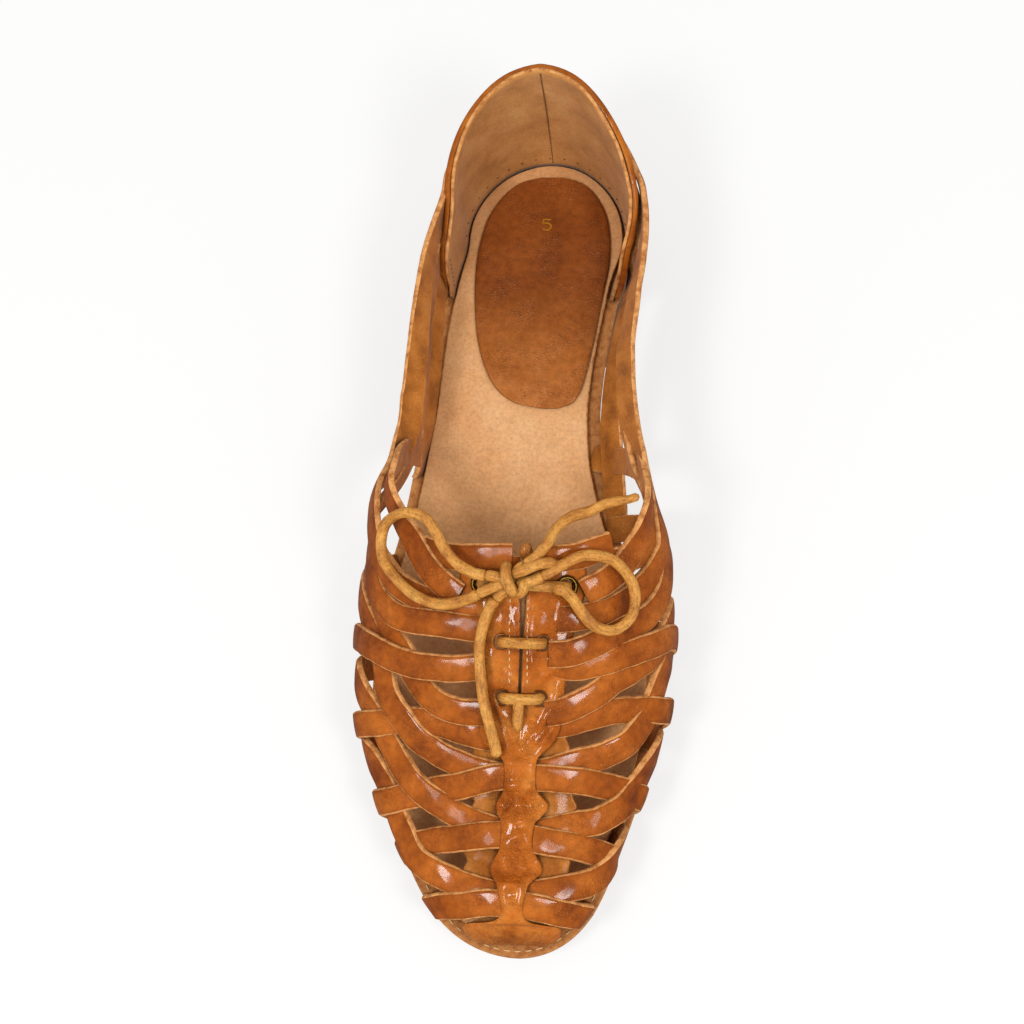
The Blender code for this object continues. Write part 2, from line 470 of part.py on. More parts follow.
def sole_layer(margin, lower, upper, count, start=TOE_END, stop=HEEL_END, edge=0.0):
    """A layer of the sole between two height functions, wider than the feather line by margin.

    edge is how much the upper arris is eased.
    """
    reach = margin / LENGTH
    rings = []
    for along in plan_stations(start, stop, count)[1:-1]:
        middle = (start + stop) / 2
        stretched = along + reach * (along - middle) / ((stop - start) / 2)
        outer, inner = plan_half_widths(along, 0)
        grow = margin * end_grow(along, start, stop)
        outer, inner = outer + grow, inner + grow
        low, high = lower(stretched), upper(stretched)
        corners = ((-outer, low), (inner, low), (inner, high - edge), (inner - edge, high),
                   (-outer + edge, high), (-outer, high - edge))
        rings.append([foot_point(x, stretched, z) for x, z in corners])
    return loft(rings)


def end_grow(along, start, stop):
    """Margin at the sides, less where the outline turns round the ends."""
    toe = min((along - start) / 0.05, 1.0)
    heel = min((stop - along) / 0.03, 1.0)
    return math.sqrt(max(0.0, min(toe, heel)))


def tube(name, points, diameter, material, collection, resolution=2):
    curve = bpy.data.curves.new(name, "CURVE")
    curve.dimensions = "3D"
    curve.bevel_depth = diameter / 2
    curve.bevel_resolution = resolution
    curve.use_fill_caps = True
    spline = curve.splines.new("POLY")
    spline.points.add(len(points) - 1)
    for slot, point in zip(spline.points, points):
        slot.co = (*point, 1.0)
    curve.materials.append(material)
    item = bpy.data.objects.new(name, curve)
    collection.objects.link(item)
    return item


def curve_to_mesh(item):
    """The same tube as a mesh with its caps welded, so that it can be joined and cut."""
    view = bpy.context.evaluated_depsgraph_get()
    view.update()
    mesh = bpy.data.meshes.new_from_object(item.evaluated_get(view))
    bm = bmesh.new()
    bm.from_mesh(mesh)
    bmesh.ops.remove_doubles(bm, verts=bm.verts, dist=1e-6)
    bmesh.ops.recalc_face_normals(bm, faces=bm.faces)
    bm.to_mesh(mesh)
    bm.free()
    name, collection, place = item.name, item.users_collection[0], item.matrix_world.copy()
    bpy.data.objects.remove(item, do_unlink=True)
    made = bpy.data.objects.new(name, mesh)
    made.matrix_world = place
    collection.objects.link(made)
    return made


def as_tool(item):
    item.hide_render = True
    item.display_type = "WIRE"
    return item


def boolean(item, operation, collection):
    """Join or cut with every object of a collection. The many thin, nearly parallel
    straps leave doubled edges with the exact solver, so this is the manifold one."""
    cut = item.modifiers.new(operation.title(), "BOOLEAN")
    cut.operation = operation
    cut.operand_type = "COLLECTION"
    cut.collection = collection
    cut.solver = "MANIFOLD"


def evaluated_bmesh(item):
    view = bpy.context.evaluated_depsgraph_get()
    view.update()
    bm = bmesh.new()
    bm.from_mesh(item.evaluated_get(view).to_mesh())
    return bm


def drop_pockets(bm):
    """Keep the outer skin and delete the small sealed pockets between stacked straps."""
    bm.verts.ensure_lookup_table()
    left = set(bm.verts)
    shells = []
    while left:
        shell, edge_of_shell = set(), [left.pop()]
        while edge_of_shell:
            vert = edge_of_shell.pop()
            shell.add(vert)
            for edge in vert.link_edges:
                other = edge.other_vert(vert)
                if other in left:
                    left.remove(other)
                    edge_of_shell.append(other)
        shells.append(shell)
    skin = max(shells, key=len)
    bmesh.ops.delete(bm, geom=[vert for vert in bm.verts if vert not in skin], context="VERTS")


def peg(name, along, around, diameter, reach, material, collection, sides=12):
    """A round punch that stands square to the last."""
    bm = bmesh.new()
    bmesh.ops.create_cone(bm, cap_ends=True, segments=sides, radius1=diameter / 2, radius2=diameter / 2,
                          depth=2 * reach)
    item = new_object(name, bm, material, collection)
    normal = last_normal(along, around)
    item.location = on_last(along, around, 0)
    item.rotation_euler = normal.to_track_quat("Z", "Y").to_euler()
    return as_tool(item)


# The pieces


def build_sole(parts, materials):
    def midsole_low(along):
        return sole_floor(along) + OUTSOLE_THICK + SEAT_GAP

    def midsole_high(along):
        return midsole_low(along) + MIDSOLE_THICK

    def outsole_high(along):
        return sole_floor(along) + OUTSOLE_THICK

    def insole_low(along):
        return seat_height(along)

    def insole_high(along):
        return seat_height(along) + INSOLE_THICK

    new_object("outsole", sole_layer(RIM_WIDTH - OUTSOLE_STEP, sole_floor, outsole_high, 34),
               materials["edge"], parts)
    new_object("midsole", sole_layer(RIM_WIDTH, midsole_low, midsole_high, 34, edge=0.5 * MM),
               materials["edge"], parts)
    new_object("insole", sole_layer(-SEAT_GAP, insole_low, insole_high, 34), materials["natural"], parts)
    heel_front = 0.735
    heel_margin = RIM_WIDTH - OUTSOLE_STEP

    def lift_low(along):
        return 0.0

    def lift_high(along):
        return sole_floor(max(along, heel_front)) - SEAT_GAP

    rings = []
    for along in plan_stations(heel_front - (HEEL_END - heel_front), HEEL_END, 30)[15:-1]:
        outer, inner = plan_half_widths(along, heel_margin * end_grow(along, TOE_END, HEEL_END))
        stretched = along + heel_margin / LENGTH * (along - 0.5) * 2
        low, high = lift_low(along), lift_high(along)
        rings.append([foot_point(x, stretched, z) for x, z in
                      ((-outer, low), (inner, low), (inner, high), (-outer, high))])
    new_object("heel_lift", loft(rings), materials["heel"], parts)


# Heel pad on the insole: along share and its two edges as shares of the ball width.
HEEL_PAD = (
    (0.655, -0.005, 0.055), (0.662, -0.095, 0.105), (0.680, -0.160, 0.135), (0.710, -0.205, 0.155),
    (0.750, -0.235, 0.175), (0.800, -0.250, 0.195), (0.850, -0.250, 0.215), (0.900, -0.225, 0.205),
    (0.935, -0.175, 0.165), (0.955, -0.115, 0.110), (0.963, -0.040, 0.045),
)


def build_heel_pad(parts, materials):
    rings = []
    for along, low, high in spread(HEEL_PAD, 2):
        base = seat_height(along) + INSOLE_THICK + SEAT_GAP
        rings.append([foot_point(share * BALL_WIDTH, along, base + rise) for share, rise in
                      ((low, 0.0), (high, 0.0), (high, HEEL_PAD_THICK), (low, HEEL_PAD_THICK))])
    new_object("heel_pad", loft(rings), materials["pad"], parts)


def counter_plan(share):
    """Feather line round the heel: 0 at the outer front edge, 1 at the back, 2 at the inner front edge."""
    turn = min(share, 2 - share)
    straight = 0.35
    side = "outer_feather" if share <= 1 else "inner_feather"
    sign = -1 if share <= 1 else 1
    if turn < straight:
        along = COUNTER_FRONT + (HEEL_ROUND - COUNTER_FRONT) * turn / straight
        return foot_point(sign * section(along)[side], along, 0), along
    angle = (turn - straight) / (1 - straight) * math.pi / 2
    width = section(HEEL_ROUND)[side]
    reach = (HEEL_END - HEEL_ROUND) * math.sin(angle)
    along = HEEL_ROUND + reach
    return foot_point(sign * width * math.cos(angle), along, 0), along


def counter_out(share):
    step = 0.01
    ahead, behind = counter_plan(min(share + step, 2))[0], counter_plan(max(share - step, 0))[0]
    return Vector((0, 0, 1)).cross(ahead - behind).normalized()


def counter_point(share, rise, outward):
    here, along = counter_plan(share)
    out = counter_out(share)
    bulge = smooth_lookup(COUNTER_BULGE, share, 1)
    swell = bulge * (1 - ((rise - 0.5 * COUNTER_HEIGHT) / (0.53 * COUNTER_HEIGHT)) ** 2)
    point = here + out * (swell + outward)
    point.z = seat_height(along) + rise
    return point


def counter_body():
    """The heel counter: a cupped wall from one side round the back to the other."""
    levels = 3
    around_steps = 26
    rings = []
    for i in range(around_steps + 1):
        share = 2 * i / around_steps
        top = smooth_lookup(COUNTER_TOP, min(share, 2 - share), 1) * COUNTER_HEIGHT
        inside = [counter_point(share, top * k / levels, 0.1 * MM) for k in range(levels + 1)]
        outside = [counter_point(share, top * k / levels, COUNTER_THICK) for k in range(levels + 1)]
        rings.append(inside + outside[::-1])
    return loft(rings)


def build_upper(parts, tools, materials):
    """Straps, underlay, spine and counter joined to one hollow solid, then cut for the lace."""
    joins = bpy.data.collections.new("upper_leathers")
    cuts = bpy.data.collections.new("upper_cuts")
    tools.children.link(joins)
    tools.children.link(cuts)
    spine = as_tool(new_object("spine", sheet_body(SPINE, SPINE_THICK, 6, 1), materials["leather"], tools))
    underlay = [(*row, 0.0) for row in UNDERLAY]
    as_tool(new_object("underlay", sheet_body(underlay, UNDERLAY_THICK, 4, 1), materials["leather"], joins))
    as_tool(new_object("counter", counter_body(), materials["leather"], joins))
    for name in STRAPS:
        as_tool(new_object(name, strap_body(name, STRAP_WIDTH, STRAP_THICK, 1), materials["leather"], joins))
    for number, (along, outer, inner) in enumerate(LACE_BARS, 1):
        for side, around in (("outer", outer), ("inner", inner)):
            peg(f"lace_punch_{side}_{number}", along, around, LACE_HOLE, PUNCH_REACH, materials["leather"], cuts)
    for side, around in (("outer", EYELETS[1]), ("inner", EYELETS[2])):
        peg(f"eyelet_punch_{side}", EYELETS[0], around, EYELET_HOLE, PUNCH_REACH, materials["leather"], cuts)
    slit_punch(cuts, materials)
    seat_punches(cuts, materials)
    boolean(spine, "UNION", joins)
    joined = evaluated_bmesh(spine)
    drop_pockets(joined)
    upper = new_object("upper", joined, materials["leather"], parts)
    boolean(upper, "DIFFERENCE", cuts)


def seat_punches(cuts, materials):
    """The midsole and the insole with their gaps, which the strap ends are trimmed to."""
    beyond, deep = 0.06, 40 * MM
    steps = 36
    rings = []
    for along in [k / steps * (1 + 2 * beyond) - beyond for k in range(steps + 1)]:
        top = seat_height(along)
        corners = ((-BALL_WIDTH, top - deep), (BALL_WIDTH, top - deep), (BALL_WIDTH, top), (-BALL_WIDTH, top))
        rings.append([foot_point(x, along, z) for x, z in corners])
    as_tool(new_object("midsole_punch", loft(rings), materials["leather"], cuts))

    def low(along):
        return seat_height(along) - 1 * MM

    def high(along):
        return seat_height(along) + INSOLE_THICK + SEAT_GAP

    as_tool(new_object("insole_punch", sole_layer(0.0, low, high, 34), materials["leather"], cuts))


def slit_punch(cuts, materials):
    """The slot down the middle of the spine, from the throat to below the lowest bar."""
    stop, around = SLIT
    rings = []
    for step in range(7):
        along = stop + (0.45 - stop) * step / 6
        middle = last_point(along, around)
        normal = last_normal(along, around)
        side = Vector((SLIT_WIDTH / 2, 0, 0))
        low, high = middle - normal * 6 * MM, middle + normal * PUNCH_REACH
        rings.append((low - side, low + side, high + side, high - side))
    as_tool(new_object("slit_punch", loft(rings), materials["leather"], cuts))


def build_eyelets(parts, materials):
    """Two brass eyelets at the top of the spine: a barrel through the leather and a rolled rim on it."""
    along, outer, inner = EYELETS
    top = spine_top(along) + SEAT_GAP
    for name, around in (("eyelet_outer", outer), ("eyelet_inner", inner)):
        bore, barrel, rim = EYELET_BORE / 2, EYELET_BARREL / 2, EYELET_RIM / 2
        profile = [(bore + 0.25 * MM, top + 0.7 * MM), (rim - 0.5 * MM, top + 0.7 * MM), (rim, top + 0.3 * MM),
                   (rim, top), (barrel, top), (barrel, top - SPINE_THICK - 0.8 * MM),
                   (bore, top - SPINE_THICK - 0.8 * MM), (bore, top + 0.4 * MM)]
        sides = 12
        bm = bmesh.new()
        loops = []
        for k in range(sides):
            turn = 2 * math.pi * k / sides
            loops.append([bm.verts.new((r * math.cos(turn), r * math.sin(turn), z)) for r, z in profile])
        for k in range(sides):
            here, there = loops[k], loops[(k + 1) % sides]
            for i in range(len(profile)):
                j = (i + 1) % len(profile)
                bm.faces.new((here[i], here[j], there[j], there[i]))
        item = new_object(name, bm, materials["brass"], parts)
        item.location = on_last(along, around, 0)
        item.rotation_euler = last_normal(along, around).to_track_quat("Z", "Y").to_euler()


def spine_top(along):
    return smooth_lookup(SPINE, along, 3) * LAYER_RISE + SPINE_THICK


def bar_route(along, outer, inner, under, over):
    """Down one hole, or up it, over the spine and down the other."""
    near, far = 0.010, 0.028
    return [(along, outer, under), (along, outer, 0.45 * over), (along, outer + near, 0.86 * over),
            (along, outer + far, 0.99 * over), (along, (outer + inner) / 2, 1.03 * over),
            (along, inner - far, 0.99 * over), (along, inner - near, 0.86 * over),
            (along, inner, 0.45 * over), (along, inner, under)]


def build_lace(parts, tools, materials):
    """The laced part in one piece, then the knot, the bow's two loops and the two ends."""
    under = -(SEAT_GAP + LACE_DIAMETER / 2) + 0.4 * MM
    clear = SEAT_GAP + LACE_DIAMETER / 2
    top = bar_route(*EYELETS, under, spine_top(EYELETS[0]) + clear + 1.1 * MM)
    bars = [bar_route(*row, under, spine_top(row[0]) + clear + 0.1 * MM) for row in LACE_BARS]
    route = top[::-1] + bars[0] + bars[1][::-1]
    route.append((LACE_BARS[1][0] - 0.012, LACE_BARS[1][1], under - 0.3 * MM))
    points = [on_last(*row) for row in route]
    along, _, _ = LACE_BARS[1]
    tail_lift = spine_top(0.25) + clear
    tail = [on_last(along - drop, SLIT[1], tail_lift) for drop in (0.0, 0.011, 0.022, 0.033)]
    bends = curve_to_mesh(tube("lace_bars", points, LACE_DIAMETER, materials["lace"], parts))
    stub = curve_to_mesh(tube("lace_stub", tail, LACE_DIAMETER * 0.92, materials["lace"], tools))
    as_tool(stub)
    extra = bpy.data.collections.new("lace_joins")
    tools.children.link(extra)
    tools.objects.unlink(stub)
    extra.objects.link(stub)
    boolean(bends, "UNION", extra)
    for name, rows in LACE_ROUTES.items():
        fine = spread(rows, 2)
        tube(name, [on_last(a, t, h * MM) for a, t, h in fine], LACE_DIAMETER, materials["lace"], parts)
    build_knot(parts, materials)


KNOT_PLACE = (0.4015, -0.012, 10.0 * MM)
KNOT_LENGTH = 8.6 * MM
KNOT_WIDTH = 6.4 * MM
KNOT_HEIGHT = 5.0 * MM


def build_knot(parts, materials):
    bm = bmesh.new()
    bmesh.ops.create_uvsphere(bm, u_segments=14, v_segments=8, radius=0.5)
    for vert in bm.verts:
        swell = 1 + 0.10 * math.cos(4 * math.atan2(vert.co.y, vert.co.x))
        vert.co = Vector((vert.co.x * KNOT_WIDTH * swell, vert.co.y * KNOT_LENGTH * swell,
                          vert.co.z * KNOT_HEIGHT))
    item = new_object("lace_knot", bm, materials["lace"], parts)
    along, around, height = KNOT_PLACE
    item.location = on_last(along, around, height)
    item.rotation_euler = last_normal(along, around).to_track_quat("Z", "Y").to_euler()


def main():
    clear_scene()
    parts = bpy.data.collections.new("huarache")
    tools = bpy.data.collections.new("huarache_tools")
    bpy.context.scene.collection.children.link(parts)
    bpy.context.scene.collection.children.link(tools)
    materials = {
        "leather": make_material("vegetable_tanned_leather", LEATHER_BROWN, 0.35),
        "natural": make_material("natural_leather", LEATHER_NATURAL, 0.7),
        "edge": make_material("stacked_leather_edge", LEATHER_EDGE, 0.6),
        "pad": make_material("heel_pad_leather", PAD_BROWN, 0.3),
        "lace": make_material("waxed_thong", LACE_TAN, 0.75),
        "heel": make_material("heel_leather", HEEL_BROWN, 0.6),
        "brass": make_material("aged_brass", BRASS, 0.4, 1.0),
    }
    build_sole(parts, materials)
    build_heel_pad(parts, materials)
    build_upper(parts, tools, materials)
    build_eyelets(parts, materials)
    build_lace(parts, tools, materials)


main()
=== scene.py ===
"""Looks of the woven leather huarache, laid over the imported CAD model.

Frame: metres, +Z up, toe towards -Y, heel towards +Y, the foot's inner side
towards +X. The sizes, the last and the straps' routes are those of the CAD.
The sections follow the shoe as it is put together, from the sole to the lace.
"""
import math

import bpy
import numpy as np
from mathutils import Matrix, Vector, noise


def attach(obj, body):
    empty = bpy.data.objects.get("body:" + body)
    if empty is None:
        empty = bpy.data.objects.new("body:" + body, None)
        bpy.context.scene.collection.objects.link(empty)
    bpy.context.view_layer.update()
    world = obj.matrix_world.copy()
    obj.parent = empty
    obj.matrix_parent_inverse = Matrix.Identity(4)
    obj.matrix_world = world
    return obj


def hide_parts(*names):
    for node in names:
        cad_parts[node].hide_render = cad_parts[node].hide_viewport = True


MM = 0.001
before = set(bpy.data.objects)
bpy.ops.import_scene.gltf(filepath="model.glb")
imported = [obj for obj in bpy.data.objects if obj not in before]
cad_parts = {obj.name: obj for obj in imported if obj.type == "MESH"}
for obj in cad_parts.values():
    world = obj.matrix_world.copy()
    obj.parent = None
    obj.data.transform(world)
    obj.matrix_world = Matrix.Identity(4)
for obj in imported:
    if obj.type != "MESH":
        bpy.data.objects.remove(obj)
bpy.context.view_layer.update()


# Outsole and midsole
# Two layers of firm vegetable-tanned leather, cut to the last's outline and glued. The midsole
# stands out past the upper, as the light rim that shows all round the shoe.

LENGTH = 248 * MM           # sole, toe to heel
BALL_WIDTH = 88 * MM        # last at its widest
INSTEP_HEIGHT = 50 * MM     # ridge of the last over the insole where the throat opens
OUTSOLE_THICK = 3.4 * MM
MIDSOLE_THICK = 3.0 * MM
HEEL_HEIGHT = 10 * MM
TOE_SPRING = 5.5 * MM
RIM_WIDTH = 3.4 * MM        # how far the midsole stands out past the feather line
OUTSOLE_STEP = 0.7 * MM     # how far the outsole stays inside the midsole's edge
SEAT_GAP = 0.3 * MM         # air between pieces that rest on each other
WIDTH_LINE = 4.2 * MM       # where the line that the widths are counted from stands
LENGTH_SHIFT = -1.6 * MM    # moves the whole shoe so that it is centred on the origin
# Toe and heel ends of the last, as shares of the length
TOE_END, TOE_ROUND = 0.020, 0.30
HEEL_END, HEEL_ROUND = 0.983, 0.88
TOE_CAP = 0.08
SPRING_FROM, ARCH_FROM, ARCH_TO = 0.20, 0.42, 0.72      # toe spring and arch, as shares of the length
# Sections of the last. along: share of the length from the toe. The feather line and the widest
# line on each side are shares of the ball width, the ridge and the heights of the widest lines
# are shares of the instep height, and the ridge's shift is a share of the ball width.
SECTION_COLUMNS = ("along", "outer_feather", "outer_wide", "inner_feather", "inner_wide",
                   "ridge", "outer_bulge", "inner_bulge", "ridge_shift")
SECTIONS = (
    (0.02, 0.466, 0.500, 0.386, 0.420, 0.26, 0.12, 0.12, -0.018),
    (0.08, 0.432, 0.477, 0.341, 0.381, 0.30, 0.14, 0.14, -0.025),
    (0.13, 0.438, 0.483, 0.335, 0.375, 0.35, 0.16, 0.16, -0.018),
    (0.18, 0.449, 0.494, 0.347, 0.386, 0.42, 0.17, 0.17, -0.011),
    (0.25, 0.477, 0.523, 0.375, 0.420, 0.56, 0.18, 0.18, -0.005),
    (0.32, 0.494, 0.545, 0.386, 0.443, 0.72, 0.19, 0.20, 0.001),
    (0.40, 0.489, 0.545, 0.358, 0.449, 0.88, 0.20, 0.26, 0.008),
    (0.46, 0.466, 0.528, 0.295, 0.426, 1.02, 0.26, 0.38, 0.010),
    (0.50, 0.438, 0.506, 0.244, 0.388, 1.16, 0.34, 0.48, 0.011),
    (0.55, 0.409, 0.425, 0.199, 0.325, 1.36, 0.38, 0.50, 0.011),
    (0.60, 0.386, 0.388, 0.170, 0.286, 1.60, 0.42, 0.51, 0.006),
    (0.65, 0.364, 0.378, 0.161, 0.270, 1.84, 0.45, 0.52, 0.000),
    (0.70, 0.352, 0.375, 0.170, 0.268, 2.00, 0.48, 0.53, 0.000),
    (0.76, 0.338, 0.370, 0.193, 0.286, 2.08, 0.51, 0.54, 0.000),
    (0.82, 0.314, 0.350, 0.222, 0.306, 2.10, 0.54, 0.54, 0.000),
    (0.88, 0.285, 0.318, 0.261, 0.300, 2.10, 0.54, 0.54, 0.000),
    (0.99, 0.285, 0.318, 0.261, 0.300, 2.10, 0.54, 0.54, 0.000),
)
SOLE_STATIONS = 150
ARRIS_ANGLE = 38            # degrees; a body's sides stay sharp where they turn more


def lookup(rows, at, column):
    """Read a column between the rows on a curve that does not overshoot them."""
    table = sorted(rows)
    xs = np.array([row[0] for row in table])
    ys = np.array([row[column] for row in table])
    at = np.clip(at, xs[0], xs[-1])
    slopes = np.diff(ys) / np.diff(xs)
    product, total = slopes[:-1] * slopes[1:], slopes[:-1] + slopes[1:]
    inner = np.where(product > 0, 2 * product / np.where(total == 0, 1, total), 0)
    tangents = np.concatenate((slopes[:1], inner, slopes[-1:]))
    span = np.clip(np.searchsorted(xs, at, side="right") - 1, 0, len(xs) - 2)
    step = xs[span + 1] - xs[span]
    s = (at - xs[span]) / step
    return ((1 + 2 * s) * (1 - s) ** 2 * ys[span] + s * (1 - s) ** 2 * step * tangents[span]
            + s * s * (3 - 2 * s) * ys[span + 1] + s * s * (s - 1) * step * tangents[span + 1])


def round_end(reach):
    return np.sqrt(np.maximum(0.0, 1 - np.clip(reach, 0, 1) ** 2))


def section(along):
    """The last's section at each share of the length, as lengths."""
    values = {name: lookup(SECTIONS, along, i) for i, name in enumerate(SECTION_COLUMNS) if i}
    ends = (round_end((TOE_ROUND - along) / (TOE_ROUND - TOE_END))
            * round_end((along - HEEL_ROUND) / (HEEL_END - HEEL_ROUND)))
    cap = round_end((TOE_CAP - along) / (TOE_CAP - TOE_END))
    for name in ("outer_feather", "outer_wide", "inner_feather", "inner_wide"):
        values[name] = values[name] * BALL_WIDTH * ends
    for name in ("ridge", "outer_bulge", "inner_bulge"):
        values[name] = values[name] * INSTEP_HEIGHT * cap
    values["ridge_shift"] = values["ridge_shift"] * BALL_WIDTH
    return values


def sole_floor(along):
    """Height of the outsole's underside: toe spring, flat tread, then the rise to the heel."""
    spring = TOE_SPRING * np.maximum(0.0, (SPRING_FROM - along) / SPRING_FROM) ** 2
    rise = np.clip((along - ARCH_FROM) / (ARCH_TO - ARCH_FROM), 0, 1)
    return spring + HEEL_HEIGHT * rise * rise * (3 - 2 * rise)


def seat_height(along):
    return sole_floor(along) + OUTSOLE_THICK + MIDSOLE_THICK + 2 * SEAT_GAP


def foot_points(across, along, height):
    """Points by their distance from the width line, share of the length and height."""
    across, along, height = np.broadcast_arrays(across, along, height)
    return np.stack((WIDTH_LINE + across, LENGTH_SHIFT + (along - 0.5) * LENGTH, height), axis=-1)


def ripple(points, scale, amount, seed=0.0):
    """Soft noise at each point, as a length. scale is the size of a bump."""
    flat = np.asarray(points, float).reshape(-1, 3) / scale + seed
    values = [noise.noise(Vector(point)) for point in flat]
    return np.array(values).reshape(np.shape(points)[:-1]) * amount


def make_piece(name, points, faces, materials, picks=None, uvs=None, replaces=("upper",),
               slot="strap_leather", sharp_from=None):
    """A smooth mesh that rides on the shoe, takes a finish and stands for the named CAD nodes."""
    mesh = bpy.data.meshes.new(name)
    faces = faces.tolist() if isinstance(faces, np.ndarray) else faces
    mesh.from_pydata(np.asarray(points).reshape(-1, 3).tolist(), [], faces)
    for material in materials:
        mesh.materials.append(material)
    if picks is not None:
        mesh.polygons.foreach_set("material_index", np.asarray(picks, np.int32))
    if uvs is not None:
        layer = mesh.uv_layers.new(name="sheet")
        corners = np.zeros(len(mesh.loops), np.int32)
        mesh.loops.foreach_get("vertex_index", corners)
        layer.data.foreach_set("uv", np.asarray(uvs).reshape(-1, 2)[corners].ravel())
    mesh.shade_smooth()
    if sharp_from is not None:
        mesh.set_sharp_from_angle(angle=sharp_from)
    item = bpy.data.objects.new(name, mesh)
    bpy.context.scene.collection.objects.link(item)
    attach(item, "root")
    if replaces:
        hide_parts(*replaces)
    return item


def grid_faces(rows, columns, closed=False):
    """Quads of a grid of points; closed joins the last column to the first."""
    i, j = np.meshgrid(np.arange(rows - 1), np.arange(columns if closed else columns - 1), indexing="ij")
    k = (j + 1) % columns
    here, ahead = i * columns, (i + 1) * columns
    quads = np.stack((here + j, here + k, ahead + k, ahead + j), axis=-1)
    return quads.reshape(-1, 4)


def ring_body(name, rings, uvs, picks, materials, **calls):
    """A closed body through equal rings, each end capped with a fan round its middle."""
    rows, columns = rings.shape[:2]
    points = np.vstack((rings.reshape(-1, 3), rings[:1].mean(axis=1), rings[-1:].mean(axis=1)))
    uvs = np.vstack((uvs.reshape(-1, 2), uvs[:1].mean(axis=1), uvs[-1:].mean(axis=1)))
    j = np.arange(columns)
    k = (j + 1) % columns
    first, last = rows * columns, rows * columns + 1
    base = (rows - 1) * columns
    caps = [[first, b, a] for a, b in zip(j.tolist(), k.tolist())]
    caps += [[last, base + a, base + b] for a, b in zip(j.tolist(), k.tolist())]
    picks = np.concatenate((np.tile(picks, rows - 1), np.full(len(caps), 1)))
    faces = grid_faces(rows, columns, closed=True).tolist() + caps
    return make_piece(name, points, faces, materials, picks, uvs,
                      sharp_from=math.radians(ARRIS_ANGLE), **calls)


def colour(code):
    """A linear colour from an sRGB one such as B5651D."""
    channels = [int(code[i:i + 2], 16) / 255 for i in (0, 2, 4)]
    return (*[c / 12.92 if c <= 0.04045 else ((c + 0.055) / 1.055) ** 2.4 for c in channels], 1.0)


def add(tree, kind, inputs=None, out=0, stops=(), **settings):
    """A node with its settings, colour stops and links. Gives the output asked for, or the node for None."""
    made = tree.nodes.new(kind)
    for name, value in settings.items():
        setattr(made, name, value)
    if stops:
        elements = made.color_ramp.elements
        while len(elements) < len(stops):
            elements.new(0.5)
        for element, (place, value) in zip(elements, stops):
            element.position = place
            element.color = colour(value) if isinstance(value, str) else (value, value, value, 1)
    for name, value in (inputs or {}).items():
        if isinstance(value, bpy.types.NodeSocket):
            tree.links.new(value, made.inputs[name])
        else:
            made.inputs[name].default_value = value
    return made if out is None or not made.outputs else made.outputs[out]


def start_material(name):
    """An empty material, its nodes, and the place in the shoe's frame that its patterns follow."""
    material = bpy.data.materials.new(name)
    material.use_nodes = True
    tree = material.node_tree
    tree.nodes.clear()
    return material, tree, add(tree, "ShaderNodeTexCoord", out="Object")


def finish_material(tree, base, normal, shader):
    surface = add(tree, "ShaderNodeBsdfPrincipled", {"Base Color": base, "Normal": normal, **shader})
    add(tree, "ShaderNodeOutputMaterial", {"Surface": surface})


def marks(where, size, detail=3.0, roughness=0.55, **more):
    """A noise node's inputs for marks of about that size, in metres."""
    return {"Vector": where, "Scale": 1 / size, "Detail": detail, "Roughness": roughness, **more}


def stained(tree, base, pattern, share, *stops):
    """The colour multiplied by a pattern, read through its stops and taken in that share."""
    tone = add(tree, "ShaderNodeValToRGB", {"Fac": pattern}, stops=stops)
    return add(tree, "ShaderNodeMix", {0: share, 6: base, 7: tone}, out=2, data_type="RGBA",
               blend_type="MULTIPLY")


def painted_nearby_shade(tree, base, depth, reach=4.5 * MM):
    """Painted shade: the colour darkened by that much where leather lies within reach of other leather."""
    shade = add(tree, "ShaderNodeAmbientOcclusion", {"Distance": reach}, out="AO", samples=6)
    return stained(tree, base, shade, 1.0, (0.25, 1 - depth), (0.80, 1.0))


def cut_edge(name, dark, light):
    """Raw cut edge of vegetable-tanned leather: light fibres with darker stains, quite matt."""
    material, tree, where = start_material(name)
    fibres = add(tree, "ShaderNodeTexNoise", marks(where, 2.2 * MM, 5, 0.70))
    base = add(tree, "ShaderNodeValToRGB", {"Fac": fibres}, stops=((0.34, dark), (0.58, light)))
    # Painted shade where the edge lies near other leather.
    base = painted_nearby_shade(tree, base, 0.5)
    nap = add(tree, "ShaderNodeTexNoise", marks(where, 0.30 * MM))
    normal = add(tree, "ShaderNodeBump", {"Height": nap, "Distance": 0.15 * MM})
    finish_material(tree, base, normal, {"Roughness": 0.78, "Specular IOR Level": 0.25})
    return material


def even_finish(name, code, roughness, metallic=0.0, depth=0.05 * MM):
    """One colour, broken up by a fine mottle and a faint unevenness, as on thread, brass and heel leather."""
    material, tree, where = start_material(name)
    mottle = add(tree, "ShaderNodeTexNoise", marks(where, 1.5 * MM, 4))
    base = stained(tree, colour(code), mottle, 0.7, (0.30, 0.72), (0.70, 1.0))
    unevenness = add(tree, "ShaderNodeTexNoise", marks(where, 0.6 * MM))
    normal = add(tree, "ShaderNodeBump", {"Height": unevenness, "Distance": depth})
    finish_material(tree, base, normal, {"Roughness": roughness, "Metallic": metallic})
    return material


def sole_outline(margin, start=TOE_END, stop=HEEL_END):
    """Shares of the length and the two half widths of a sole layer, close together at the round ends."""
    count = SOLE_STATIONS
    along = start + (stop - start) * (1 - np.cos(math.pi * np.arange(count + 1) / count)) / 2
    along = along[1:-1]
    middle = (start + stop) / 2
    stretched = along + margin / LENGTH * (along - middle) / ((stop - start) / 2)
    grow = margin * np.sqrt(np.maximum(0, np.minimum(np.minimum((along - start) / 0.05, 1),
                                                     np.minimum((stop - along) / 0.03, 1))))
    cut = section(along)
    return stretched, cut["outer_feather"] + grow, cut["inner_feather"] + grow


